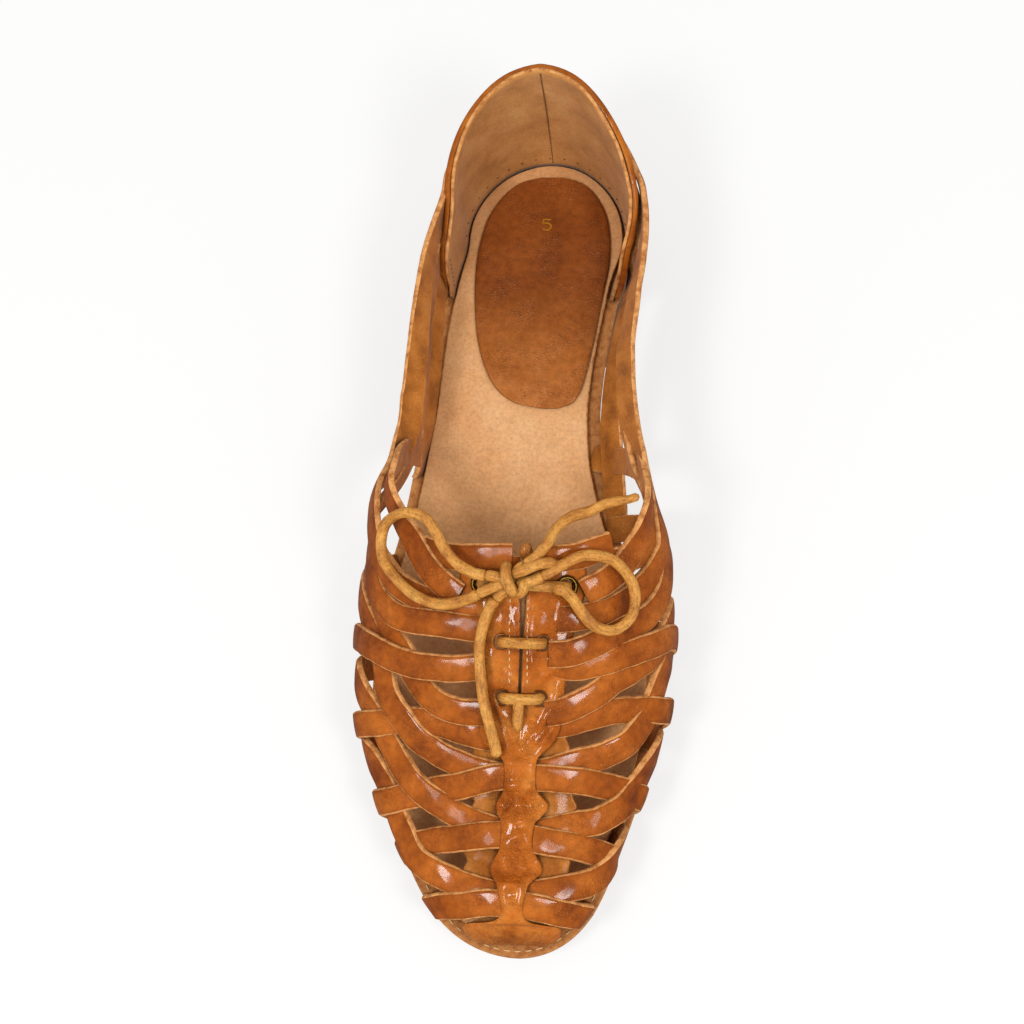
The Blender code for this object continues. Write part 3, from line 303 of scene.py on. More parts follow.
def sole_body(name, margin, lower, upper, ease, sides, materials, node, start=TOE_END, stop=HEEL_END,
              waves=0.0, slot="sole_leather"):
    """A layer of the sole with eased arrises. sides counts the columns over its top."""
    along, outer, inner = sole_outline(margin, start, stop)
    low, high = lower(along), upper(along)
    across = np.linspace(-1, 1, sides)
    arc = np.array((0.0, 0.35, 0.75, 1.0))
    rings = []
    for u, a, b, z0, z1 in zip(along, outer, inner, low, high):
        reach = min(1.0, (a + b) / (8 * ease))
        e = ease * reach
        top_x = np.where(across < 0, across * (a - e), across * (b - e))
        bend = 1 - np.sqrt(np.maximum(0, 1 - arc ** 2))
        right = [(b - e + e * s, z1 - e * f) for s, f in zip(arc[1:], bend[1:])]
        left = [(-(a - e + e * s), z1 - e * f) for s, f in zip(arc[1:], bend[1:])][::-1]
        top = [(x, z1) for x in top_x]
        wall_right = [(b, (z0 + z1) / 2), (b - e * 0.5, z0)]
        wall_left = [(-a + e * 0.5, z0), (-a, (z0 + z1) / 2)]
        under = [(x, z0) for x in (b * 0.5, 0.0, -a * 0.5)]
        ring = left + top + right + wall_right + under + wall_left
        rings.append([(x, u, z) for x, z in ring])
    rings = np.array(rings)
    points = foot_points(rings[..., 0], rings[..., 1], rings[..., 2])
    if waves:
        points[..., 2] += ripple(points, 9 * MM, waves, 6.0)
    columns = points.shape[1]
    picks = np.ones(columns, int)
    picks[3:3 + sides - 1] = 0
    picks[3 + sides + 4:3 + sides + 8] = 2
    uvs = points[..., :2]
    return ring_body(name, points, uvs, picks, materials, replaces=(node,), slot=slot)


def midsole_low(along):
    return sole_floor(along) + OUTSOLE_THICK + SEAT_GAP


def midsole_high(along):
    return midsole_low(along) + MIDSOLE_THICK


def outsole_high(along):
    return sole_floor(along) + OUTSOLE_THICK


SOLE_EDGE = cut_edge("sole_edge", "935526", "B67A42")
SOLE_TREAD = even_finish("sole_tread", "B98C5C", 0.6)
sole_body("outsole_leather", RIM_WIDTH - OUTSOLE_STEP, sole_floor, outsole_high, 0.6 * MM, 9,
          (SOLE_EDGE, SOLE_EDGE, SOLE_TREAD), "outsole")
sole_body("midsole_leather", RIM_WIDTH, midsole_low, midsole_high, 0.7 * MM, 9,
          (SOLE_EDGE, SOLE_EDGE, SOLE_EDGE), "midsole")


# Insole
# A thin sock of smooth natural leather, matt and pale, that the foot stands on. It is glued over the
# whole seat, 0.3 mm inside the upper, and waves a little where it was pressed down by hand.

INSOLE_THICK = 1.8 * MM


def insole_high(along):
    return seat_height(along) + INSOLE_THICK


def insole_leather():
    """Smooth natural sock leather: even and matt, with pores, a fine grain and a few faint stains."""
    material, tree, where = start_material("insole_leather")
    tone = add(tree, "ShaderNodeTexNoise", marks(where, 20 * MM, 6, 0.6))
    tans = ((0.32, "C48C58"), (0.50, "D09A66"), (0.70, "D8A674"))
    base = add(tree, "ShaderNodeValToRGB", {"Fac": tone}, stops=tans)
    pores = add(tree, "ShaderNodeTexVoronoi", {"Vector": where, "Scale": 1 / (0.9 * MM)})
    base = stained(tree, base, pores, 0.7, (0.10, 0.80), (0.60, 1.0))
    speckle = add(tree, "ShaderNodeTexNoise", marks(where, 1.2 * MM, 4))
    base = stained(tree, base, speckle, 0.9, (0.33, 0.84), (0.62, 1.0))
    stains = add(tree, "ShaderNodeTexNoise", marks(where, 6 * MM, 5))
    base = stained(tree, base, stains, 0.6, (0.58, 1.0), (0.78, 0.74))
    # Painted shade where the insole lies near other leather.
    base = painted_nearby_shade(tree, base, 0.25, reach=5 * MM)
    waves = add(tree, "ShaderNodeTexNoise", marks(where, 7 * MM))
    normal = add(tree, "ShaderNodeBump", {"Height": waves, "Distance": 0.35 * MM})
    normal = add(tree, "ShaderNodeBump",
                 {"Height": pores, "Distance": 0.08 * MM, "Strength": 0.8, "Normal": normal})
    grain = add(tree, "ShaderNodeTexNoise", marks(where, 0.4 * MM, 2))
    normal = add(tree, "ShaderNodeBump",
                 {"Height": grain, "Distance": 0.05 * MM, "Strength": 0.8, "Normal": normal})
    finish_material(tree, base, normal, {"Roughness": 0.68, "Specular IOR Level": 0.25})
    return material


STRAP_EDGE = cut_edge("strap_edge", "985722", "D09458")
INSOLE = insole_leather()
sole_body("insole_sock", -SEAT_GAP, seat_height, insole_high, 0.4 * MM, 60,
          (INSOLE, STRAP_EDGE, INSOLE), "insole", waves=0.25 * MM, slot="insole_leather")


# Heel lift
# A low stack of leather under the heel, sanded and stained brown to a satin face. The CAD's
# own solid shows, since the photograph hides it.

HEEL_STACK = even_finish("heel_stack", "7A4E28", 0.5)
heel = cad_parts["heel_lift"]
heel.data.materials.clear()
heel.data.materials.append(HEEL_STACK)


# Rim stitches
# Pale waxed thread, sewn through the midsole and outsole round the toe. Each stitch shows on the
# rim as a short bar, and the row ends where the vamp's sides begin.

RIM_STITCH_END = -60 * MM   # where the row stops, on the shoe's length
RIM_STITCH_IN = 1.7 * MM    # how far it lies inside the midsole's edge
RIM_STITCH = (3.0 * MM, 2.1 * MM, 0.45 * MM)    # gap, length and thickness of a stitch
THREAD_LIFT = 0.05 * MM     # how far a thread's middle stands over the leather


def unit(vectors):
    return vectors / np.maximum(np.linalg.norm(vectors, axis=-1, keepdims=True), 1e-12)


def lengths_along(points):
    """Distance run from the first point to each point of a line."""
    steps = np.linalg.norm(np.diff(points, axis=0), axis=1)
    return np.concatenate(([0.0], np.cumsum(steps)))


def stitch_nodes():
    """Geometry Nodes: a short rounded bar of thread on each of some even places of a line."""
    tree = bpy.data.node_groups.new("stitches", "GeometryNodeTree")
    for label, kind in (("Line", "Geometry"), ("Count", "Int"), ("Length", "Float"), ("Thickness", "Float"),
                        ("Thread", "Material")):
        tree.interface.new_socket(label, in_out="INPUT", socket_type="NodeSocket" + kind)
    tree.interface.new_socket("Stitches", in_out="OUTPUT", socket_type="NodeSocketGeometry")
    given = add(tree, "NodeGroupInput", out=None).outputs
    line = add(tree, "GeometryNodeMeshToCurve", {"Mesh": given["Line"]})
    places = add(tree, "GeometryNodeResampleCurve", {"Curve": line, "Count": given["Count"]}, mode="COUNT")
    outward = add(tree, "GeometryNodeInputNamedAttribute", {"Name": "outward"}, data_type="FLOAT_VECTOR")
    heading = add(tree, "GeometryNodeInputTangent")
    turn = add(tree, "FunctionNodeAlignRotationToVector", {"Vector": heading}, axis="X")
    turn = add(tree, "FunctionNodeAlignRotationToVector", {"Rotation": turn, "Vector": outward},
               axis="Z", pivot_axis="X")
    ball = add(tree, "GeometryNodeMeshUVSphere", {"Segments": 6, "Rings": 5, "Radius": 0.5})
    size = {"X": given["Thickness"], "Y": given["Thickness"], "Z": given["Length"]}
    size = add(tree, "ShaderNodeCombineXYZ", size)
    lying = (0, math.pi / 2, 0)
    bar = add(tree, "GeometryNodeTransform", {"Geometry": ball, "Rotation": lying, "Scale": size})
    bar = add(tree, "GeometryNodeSetShadeSmooth", {"Geometry": bar})
    row = add(tree, "GeometryNodeInstanceOnPoints", {"Points": places, "Instance": bar, "Rotation": turn})
    row = add(tree, "GeometryNodeRealizeInstances", {"Geometry": row})
    row = add(tree, "GeometryNodeSetMaterial", {"Geometry": row, "Material": given["Thread"]})
    add(tree, "NodeGroupOutput", {"Stitches": row})
    return tree


STITCHES = stitch_nodes()


def stitch_row(name, points, outs, gap, length, thick, thread, slot="strap_leather"):
    """A row of stitches along a line, a gap apart, each lying across its outward direction."""
    run = lengths_along(points)
    count = max(2, int(run[-1] / gap))
    at = np.linspace(0.5, count - 0.5, 4 * count) * run[-1] / count
    line, outward = (np.stack([np.interp(at, run, values[:, k]) for k in range(3)], axis=-1)
                     for values in (points, outs))
    mesh = bpy.data.meshes.new(name + "_line")
    mesh.from_pydata(line.tolist(), [(i, i + 1) for i in range(len(line) - 1)], [])
    mesh.attributes.new("outward", "FLOAT_VECTOR", "POINT").data.foreach_set("vector", outward.ravel())
    item = bpy.data.objects.new(name, mesh)
    bpy.context.scene.collection.objects.link(item)
    maker = item.modifiers.new("Stitches", "NODES")
    maker.node_group = STITCHES
    sizes = {"Count": count, "Length": length, "Thickness": thick, "Thread": thread}
    for socket in STITCHES.interface.items_tree:
        if socket.name in sizes:
            maker[socket.identifier] = sizes[socket.name]
    made = bpy.data.meshes.new_from_object(item.evaluated_get(bpy.context.evaluated_depsgraph_get()))
    made.name = name
    item.modifiers.remove(maker)
    item.data = made
    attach(item, "root")


THREAD = even_finish("thread", "D9B27C", 0.8)
along, outer, inner = sole_outline(RIM_WIDTH - RIM_STITCH_IN)
rim_left = foot_points(-outer, along, midsole_high(along) + THREAD_LIFT)
rim_right = foot_points(inner, along, midsole_high(along) + THREAD_LIFT)
front = rim_left[:, 1] < RIM_STITCH_END
rim = np.vstack((rim_left[front][::-1], rim_right[front]))
stitch_row("rim_stitches", rim, np.tile((0, 0, 1.0), (len(rim), 1)), *RIM_STITCH, THREAD,
           slot="sole_leather")


# Heel pad
# A thin egg-shaped pad of glossy leather, glued on the insole, wrinkled and paler in its front half,
# with a plain size number in gold foil.

HEEL_PAD_THICK = 0.9 * MM
# Along share and the two edges as shares of the ball width
HEEL_PAD = (
    (0.655, -0.005, 0.055), (0.662, -0.095, 0.105), (0.680, -0.160, 0.135), (0.710, -0.205, 0.155),
    (0.750, -0.235, 0.175), (0.800, -0.250, 0.195), (0.850, -0.250, 0.215), (0.900, -0.225, 0.205),
    (0.935, -0.175, 0.165), (0.955, -0.115, 0.110), (0.963, -0.040, 0.045),
)
PAD_COLUMNS = 90
# Wrinkles: along, side, direction in degrees from the foot's line, length, width and depth in mm
PAD_WRINKLES = (
    (0.745, -0.10, 25, 26, 2.6, -0.35), (0.725, 0.06, 40, 24, 2.4, -0.35),
    (0.700, -0.06, -20, 22, 2.2, -0.35), (0.715, 0.14, 70, 16, 2.0, 0.30),
    (0.680, 0.04, 10, 20, 2.2, -0.30), (0.735, -0.16, 5, 22, 2.0, 0.30),
    (0.690, 0.10, -30, 16, 2.0, 0.30), (0.760, 0.12, -10, 20, 2.2, 0.30),
)
# The number as one pen line, across and up in units of its half width
NUMBER_LINE = ((0.85, 1.25), (-0.75, 1.25), (-0.85, 0.25), (-0.35, 0.42), (0.25, 0.38), (0.80, -0.05),
               (0.85, -0.62), (0.45, -1.10), (-0.20, -1.22), (-0.85, -0.95))
NUMBER_PLACE = (0.0033, 0.0969)
NUMBER_HALF = 1.45 * MM
NUMBER_PEN = 0.26 * MM


def spread(rows, per_span):
    """Rows on a smooth curve through the given ones, with per_span steps between two."""
    rows = np.asarray(rows, float)
    padded = np.vstack((rows[:1], rows, rows[-1:]))
    s = (np.arange(per_span) / per_span)[None, :, None]
    a, b, c, d = (padded[i:i + len(rows) - 1, None, :] for i in range(4))
    fine = 0.5 * (2 * b + (c - a) * s + (2 * a - 5 * b + 4 * c - d) * s * s
                  + (3 * b - a - 3 * c + d) * s ** 3)
    return np.vstack((fine.reshape(-1, rows.shape[1]), rows[-1:]))


def grain_leather(name, dark, middle, light, crinkle=0.5, gloss=0.30, coat=0.45, half=0.0, spots=(),
                  low=None):
    """Waxed grain side of vegetable-tanned leather: clouded colour, dark specks, painted shade near other
    leather, and crinkled zones that shine through the wax between plainer, duller ones. half darkens the
    sides of a strap of that half width, partly as burnish and partly as painted shade, spots are darker
    blots, and low gives two paler colours in front of a line across the shoe."""
    material, tree, where = start_material(name)
    tone = add(tree, "ShaderNodeTexNoise", marks(where, 12 * MM, 5, 0.60))
    base = add(tree, "ShaderNodeValToRGB", {"Fac": tone}, stops=((0.30, dark), (0.50, middle), (0.70, light)))
    if low:
        along = add(tree, "ShaderNodeSeparateXYZ", {"Vector": where}, out="Y")
        drift = add(tree, "ShaderNodeMath", {0: tone, 1: 0.02}, operation="MULTIPLY")
        along = add(tree, "ShaderNodeMath", {0: along, 1: drift}, operation="ADD")
        along = add(tree, "ShaderNodeMath", {0: along, 1: 10.0}, operation="MULTIPLY")
        share = add(tree, "ShaderNodeValToRGB", {"Fac": along}, stops=((low[2], 0.0), (low[3], 1.0)))
        front = add(tree, "ShaderNodeValToRGB", {"Fac": tone}, stops=((0.33, low[0]), (0.66, low[1])))
        base = add(tree, "ShaderNodeMix", {0: share, 6: front, 7: base}, out=2, data_type="RGBA")
    specks = add(tree, "ShaderNodeTexNoise", marks(where, 1.1 * MM))
    base = stained(tree, base, specks, 0.8, (0.62, 1.0), (0.74, 0.50))
    mottle = add(tree, "ShaderNodeTexNoise", marks(where, 2.2 * MM, 6, 0.7))
    base = stained(tree, base, mottle, 0.9, (0.34, 0.66), (0.60, 1.0))
    # Darker blots at given places; those in the spine's dimples are painted shade.
    for place, size, depth in spots:
        away = add(tree, "ShaderNodeVectorMath", {0: where, 1: tuple(place)}, out="Value",
                   operation="DISTANCE")
        ragged = add(tree, "ShaderNodeTexNoise", marks(where, size))
        ragged = add(tree, "ShaderNodeMath", {0: ragged, 1: size}, operation="MULTIPLY")
        edge = add(tree, "ShaderNodeMath", {0: away, 1: ragged}, operation="ADD")
        edge = add(tree, "ShaderNodeMath", {0: edge, 1: 2 * size}, operation="DIVIDE")
        base = stained(tree, base, edge, 1.0, (0.30, 1 - depth), (0.85, 1.0))
    # The strap's sides darkened: partly burnish, partly painted shade beside the cut edges.
    if half:
        sheet = add(tree, "ShaderNodeTexCoord", out="UV")
        across = add(tree, "ShaderNodeSeparateXYZ", {"Vector": sheet}, out="Y")
        across = add(tree, "ShaderNodeMath", {0: across}, operation="ABSOLUTE")
        across = add(tree, "ShaderNodeMath", {0: across, 1: half}, operation="DIVIDE")
        ragged = add(tree, "ShaderNodeTexNoise", marks(where, 2 * MM))
        ragged = add(tree, "ShaderNodeMath", {0: ragged, 1: 0.10}, operation="MULTIPLY")
        across = add(tree, "ShaderNodeMath", {0: across, 1: ragged}, operation="ADD")
        base = stained(tree, base, across, 1.0, (0.62, 1.0), (0.90, 0.86), (0.97, 0.50))
    # Painted shade where the leather lies near other leather.
    base = painted_nearby_shade(tree, base, 0.72)
    patches = add(tree, "ShaderNodeTexNoise", marks(where, 9 * MM, 2))
    zone = add(tree, "ShaderNodeValToRGB", {"Fac": patches}, stops=((0.44, 0.10), (0.57, 1.0)))
    wrinkle = add(tree, "ShaderNodeTexNoise", marks(where, 2.4 * MM, 4, 0.6, Distortion=1.4))
    normal = add(tree, "ShaderNodeBump", {"Height": wrinkle, "Distance": 0.55 * MM * crinkle})
    folds = add(tree, "ShaderNodeTexVoronoi", {"Vector": where, "Scale": 1 / (0.85 * MM)},
                feature="DISTANCE_TO_EDGE")
    folds = add(tree, "ShaderNodeValToRGB", {"Fac": folds}, stops=((0.0, 0.0), (0.30, 1.0)))
    folds = add(tree, "ShaderNodeMix", {0: zone, 6: (1, 1, 1, 1), 7: folds}, out=2, data_type="RGBA")
    normal = add(tree, "ShaderNodeBump", {"Height": folds, "Distance": 0.15 * MM * (0.4 + crinkle),
                                          "Strength": 0.9, "Normal": normal})
    pores = add(tree, "ShaderNodeTexNoise", marks(where, 0.45 * MM))
    normal = add(tree, "ShaderNodeBump",
                 {"Height": pores, "Distance": 0.06 * MM, "Strength": 0.9, "Normal": normal})
    rough = add(tree, "ShaderNodeValToRGB", {"Fac": zone}, stops=((0.0, gloss + 0.22), (1.0, gloss)))
    polish = add(tree, "ShaderNodeValToRGB", {"Fac": zone}, stops=((0.0, coat * 0.15), (1.0, coat)))
    finish_material(tree, base, normal, {
        "Roughness": rough, "Specular IOR Level": 0.30, "Specular Tint": colour("FFC488"),
        "Coat Weight": polish, "Coat Roughness": 0.10})
    return material


def thicken(item, thick, flesh=2, edge=1):
    """Give a grain-side sheet its thickness inwards, with a flesh side and cut edges."""
    shell = item.modifiers.new("Thickness", "SOLIDIFY")
    shell.thickness = thick
    shell.offset = -1
    shell.use_even_offset = False
    shell.material_offset = flesh
    shell.material_offset_rim = edge
    return item


def pad_grid(along, x):
    """Points on the pad's face, with its long soft wrinkles in the lower half."""
    z = seat_height(along) + INSOLE_THICK + SEAT_GAP + HEEL_PAD_THICK
    points = foot_points(x, along, z)
    low_half = np.clip((0.82 - along) / 0.08, 0, 1)
    more = ripple(points * np.array((1, 1.6, 1)), 7 * MM, 0.30 * MM, 8.0) * (0.25 + low_half)
    for place, side, turn, length, width, depth in PAD_WRINKLES:
        angle = math.radians(turn)
        away = points - foot_points(side * BALL_WIDTH, place, 0.0)
        on = away[..., 0] * math.sin(angle) + away[..., 1] * math.cos(angle)
        off = away[..., 0] * math.cos(angle) - away[..., 1] * math.sin(angle)
        bend = 1.6 * MM * np.sin(on / (5 * MM))
        fall = (on / (length * MM / 2)) ** 2 + ((off - bend) / (width * MM / 2)) ** 2
        more = more + depth * MM * np.exp(-fall)
    points[..., 2] += np.maximum(more, -0.5 * MM)
    return points


def make_pad():
    rows = spread(HEEL_PAD, 14)
    along, low, high = rows.T
    t = np.linspace(0, 1, PAD_COLUMNS)
    x = (low[:, None] + (high - low)[:, None] * t[None, :]) * BALL_WIDTH
    along = along[:, None] + 0 * x
    points = pad_grid(along, x)
    rim = np.minimum(1, 2 * np.minimum(t, 1 - t) / 0.05)[None, :]
    points[..., 2] -= HEEL_PAD_THICK * 0.45 * (1 - np.sqrt(rim))
    pad = make_piece("heel_pad_leather", points, grid_faces(*x.shape), (PAD_GRAIN, PAD_GRAIN, PAD_GRAIN),
                     uvs=points[..., :2], replaces=("heel_pad",), slot="heel_pad_leather")
    thicken(pad, HEEL_PAD_THICK, flesh=0, edge=0)


def make_number():
    strokes = np.array(NUMBER_LINE)
    line = np.vstack((spread(strokes[:2], 6), spread(strokes[1:3], 6)[1:], spread(strokes[2:], 6)[1:]))
    ahead = unit(np.gradient(line, axis=0))
    side = np.stack((-ahead[:, 1], ahead[:, 0]), axis=-1)
    edges = line[:, None, :] * NUMBER_HALF + side[:, None, :] * NUMBER_PEN * np.array((1, -1))[None, :, None]
    x, y = edges[..., 0] + NUMBER_PLACE[0], edges[..., 1] + NUMBER_PLACE[1]
    along = (y - LENGTH_SHIFT) / LENGTH + 0.5
    points = pad_grid(along, x - WIDTH_LINE)
    points[..., 2] += 0.06 * MM
    make_piece("heel_pad_number", points, grid_faces(*x.shape)[:, ::-1], (GOLD,), replaces=(),
               slot="heel_pad_leather")


PAD_GRAIN = grain_leather("pad_grain", "713814", "82431A", "8E4C1E", crinkle=0.45, gloss=0.24, coat=0.55,
                          low=("96521E", "B06A34", 0.62, 0.86))
GOLD = even_finish("gold_foil", "D9A53A", 0.32, metallic=0.75)
make_pad()
make_number()


# Heel counter
# A stiff cup round the heel: glossy leather outside, rolled over its top, and a suede lining whose
# pale cut edge shows inside the roll. A seam runs down its back, and stitches show at its foot.

COUNTER_HEIGHT = 57 * MM    # back of the heel counter over the midsole
COUNTER_THICK = 2.2 * MM
LINING_THICK = 1.1 * MM
LINING_RISE = 0.25 * MM     # how far the lining's cut edge stands over the outer leather
ROLL_BULGE = 0.9 * MM       # how far the outer leather swells just under its rolled top
ROLL_LEVELS = 7
COUNTER_COLUMNS, COUNTER_LEVELS = 170, 26
COUNTER_FRONT = 0.800       # its front edge at the feather, as a share of the length
BACK_SEAM = (1.25 * MM, 1.2 * MM, 0.42 * MM)    # gap, length and thickness of its stitches
FOOT_HOLES = (4.4 * MM, 0.7 * MM, 0.5 * MM)
FRONT_ROW = (1.9 * MM, 1.0 * MM, 0.35 * MM)
# Top edge as shares of its height, and how far it swells at half its height, at shares of the way
# round it: 0 at the outer front edge, 1 at the back and 2 at the inner front edge
COUNTER_TOP = (
    (0.00, 0.05), (0.04, 0.26), (0.10, 0.37), (0.18, 0.43), (0.32, 0.54), (0.51, 0.70),
    (0.70, 0.85), (0.87, 0.96), (1.00, 1.00),
)
COUNTER_BULGE = (
    (0.00, 0.8 * MM), (0.60, 0.8 * MM), (1.00, 2.0 * MM), (1.35, 0.3 * MM), (1.55, 1.2 * MM),
    (1.80, 3.4 * MM), (2.00, 3.6 * MM),
)


def counter_plan(share):
    """Feather line round the heel: 0 at the outer front edge, 1 at the back, 2 at the inner front edge."""
    turn = np.minimum(share, 2 - share)
    straight = 0.35
    outer = share <= 1
    sign = np.where(outer, -1, 1)
    angle = np.maximum(turn - straight, 0) / (1 - straight) * math.pi / 2
    bent = turn >= straight
    along = np.where(bent, HEEL_ROUND + (HEEL_END - HEEL_ROUND) * np.sin(angle),
                     COUNTER_FRONT + (HEEL_ROUND - COUNTER_FRONT) * turn / straight)
    cut = section(np.where(bent, HEEL_ROUND, along))
    width = np.where(outer, cut["outer_feather"], cut["inner_feather"]) * np.cos(angle)
    return foot_points(sign * width, along, 0.0), along


def counter_out(share):
    step = 0.01
    ahead, behind = counter_plan(np.minimum(share + step, 2))[0], counter_plan(np.maximum(share - step, 0))[0]
    return unit(np.cross(np.array((0, 0, 1.0)), ahead - behind))


def counter_points(share, rise, outward):
    share, rise, outward = np.broadcast_arrays(np.asarray(share, float), rise, outward)
    here, along = counter_plan(share)
    bulge = lookup(COUNTER_BULGE, share, 1)
    swell = bulge * (1 - ((rise - 0.5 * COUNTER_HEIGHT) / (0.53 * COUNTER_HEIGHT)) ** 2)
    points = here + counter_out(share) * (swell + outward)[..., None]
    points[..., 2] = seat_height(along) + rise
    return points


def flesh_leather(name, dark, middle, light, nap=1.0, contact_shade=0.60):
    """Flesh side of vegetable-tanned leather: a short suede nap, quite matt, clouded from dark to light. Its
    last argument sets how deep the painted shade goes where it lies near other leather.
    """
    material, tree, where = start_material(name)
    tone = add(tree, "ShaderNodeTexNoise", marks(where, 9 * MM, 5, 0.62))
    base = add(tree, "ShaderNodeValToRGB", {"Fac": tone}, stops=((0.32, dark), (0.50, middle), (0.70, light)))
    fibres = add(tree, "ShaderNodeTexNoise", marks(where, 0.45 * MM))
    base = stained(tree, base, fibres, 0.8, (0.33, 0.66), (0.66, 1.0))
    # Painted shade where the flesh side lies near other leather.
    base = painted_nearby_shade(tree, base, contact_shade)
    suede = add(tree, "ShaderNodeTexNoise", marks(where, 0.35 * MM))
    normal = add(tree, "ShaderNodeBump", {"Height": suede, "Distance": 0.16 * MM * nap})
    finish_material(tree, base, normal, {"Roughness": 0.86, "Specular IOR Level": 0.2,
                                         "Sheen Weight": 0.12, "Sheen Roughness": 0.5})
    return material


def counter_grid(outward, extra=0.0):
    share = np.linspace(0, 2, COUNTER_COLUMNS)[:, None]
    level = np.linspace(0, 1, COUNTER_LEVELS)[None, :]
    top = lookup(COUNTER_TOP, np.minimum(share, 2 - share), 1) * COUNTER_HEIGHT + extra
    return counter_points(share, top * level, outward), share, level


def make_counter():
    share = np.linspace(0, 2, COUNTER_COLUMNS)[:, None]
    top = lookup(COUNTER_TOP, np.minimum(share, 2 - share), 1) * COUNTER_HEIGHT
    wall = np.linspace(0, 1, COUNTER_LEVELS)[None, :]
    turn = np.linspace(0, math.pi / 2, ROLL_LEVELS + 1)[None, 1:]
    radius = (COUNTER_THICK - LINING_THICK + ROLL_BULGE) / 1.9
    rise = np.hstack(((top - radius) * wall, top - radius + radius * np.sin(turn)))
    swell = ROLL_BULGE * np.exp(-(((top - radius) * (1 - wall)) / (5 * MM)) ** 2)
    roll = COUNTER_THICK + ROLL_BULGE - 1.7 * radius * (1 - np.cos(turn)) + 0 * top
    out = np.hstack((COUNTER_THICK + swell, roll))
    points = counter_points(share, rise, out)
    points = points + counter_out(share + 0 * rise) * ripple(points, 16 * MM, 0.30 * MM, 2.0)[..., None]
    uvs = np.stack(np.broadcast_arrays(share, rise), axis=-1)
    outer = make_piece("counter_outer", points, grid_faces(*rise.shape),
                       (COUNTER_GRAIN, STRAP_EDGE, STRAP_FLESH), uvs=uvs)
    thicken(outer, (COUNTER_THICK - LINING_THICK) * 0.6)
    points, share, level = counter_grid(LINING_THICK, extra=LINING_RISE)
    points = points + counter_out(share + 0 * level) * ripple(points, 11 * MM, 0.25 * MM, 5.0)[..., None]
    uvs = np.stack(np.broadcast_arrays(share, level), axis=-1)
    lining = make_piece("counter_lining", points, grid_faces(COUNTER_COLUMNS, COUNTER_LEVELS),
                        (LINING, STRAP_EDGE, LINING), uvs=uvs)
    thicken(lining, LINING_THICK - 0.1 * MM)


def counter_line(shares, rises, outward):
    shares, rises = np.asarray(shares, float), np.asarray(rises, float)
    return counter_points(shares, rises * COUNTER_HEIGHT, outward), counter_out(shares)


STRAP_FLESH = flesh_leather("strap_flesh", "8E5014", "B26A22", "C67E34")
COUNTER_GRAIN = grain_leather("counter_grain", "7E3B0A", "A25413", "B66A20", crinkle=0.2)
LINING = flesh_leather("lining_suede", "AC7030", "C08240", "CC9250", nap=0.7, contact_shade=0.35)
DARK_THREAD = even_finish("dark_thread", "744822", 0.8)
make_counter()
back, back_out = counter_line(np.full(40, 1.0), np.linspace(0.04, 0.97, 40), THREAD_LIFT)
stitch_row("back_seam", back, -back_out, *BACK_SEAM, DARK_THREAD)
foot, foot_out = counter_line(np.linspace(0.30, 1.70, 90), np.full(90, 0.085), 0.0)
stitch_row("back_foot_holes", foot, -foot_out, *FOOT_HOLES, DARK_THREAD)
front, front_out = counter_line(np.linspace(0.10, 0.045, 20), np.linspace(0.30, 0.06, 20), 0.0)
stitch_row("back_front_row", front, -front_out, *FRONT_ROW, DARK_THREAD)


# Underlay
# A reddish strip of thin glossy leather along the middle, cut by hand with a wavy edge. The spine
# and the straps' inner ends lie on it, and it shows between them.

UNDERLAY_THICK = 1.5 * MM
WALL_SHARE = 0.8            # share of the way round the last that is arch; the rest tucks under
TUCK_UNDER = 0.5 * math.pi
# Along share and its two edges: the way round runs from -1 at the outer feather line over 0 at the
# ridge to 1 at the inner feather line
UNDERLAY = (
    (0.262, -0.10, 0.13), (0.230, -0.14, 0.21), (0.200, -0.15, 0.24), (0.168, -0.17, 0.28),
    (0.130, -0.20, 0.31), (0.097, -0.24, 0.36), (0.072, -0.26, 0.40), (0.052, -0.30, 0.44),
)


def last_points(along, around):
    along, around = np.broadcast_arrays(np.asarray(along, float), np.asarray(around, float))
    cut = section(along)
    outer = around < 0
    sign = np.where(outer, -1, 1)
    feather, wide, bulge = (np.where(outer, cut["outer_" + name], cut["inner_" + name])
                            for name in ("feather", "wide", "bulge"))
    reach = np.abs(around)
    arch = np.minimum(reach / WALL_SHARE, 1) * math.pi / 2
    tuck = np.maximum(reach - WALL_SHARE, 0) / (1 - WALL_SHARE) * TUCK_UNDER
    on_arch = reach <= WALL_SHARE
    x = np.where(on_arch, cut["ridge_shift"] + (sign * wide - cut["ridge_shift"]) * np.sin(arch),
                 sign * (feather + (wide - feather) * np.cos(tuck)))
    z = np.where(on_arch, bulge + (cut["ridge"] - bulge) * np.cos(arch), bulge * (1 - np.sin(tuck)))
    return foot_points(x, along, seat_height(along) + z)


def last_normals(along, around):
    step = 0.002
    ahead, behind = last_points(along + step, around), last_points(along - step, around)
    high = last_points(along, np.minimum(around + 4 * step, 1))
    low = last_points(along, np.maximum(around - 4 * step, -1))
    return unit(np.cross(high - low, ahead - behind))


def on_last(along, around, height):
    along, around = np.asarray(along, float), np.asarray(around, float)
    return last_points(along, around) + last_normals(along, around) * np.asarray(height)[..., None]


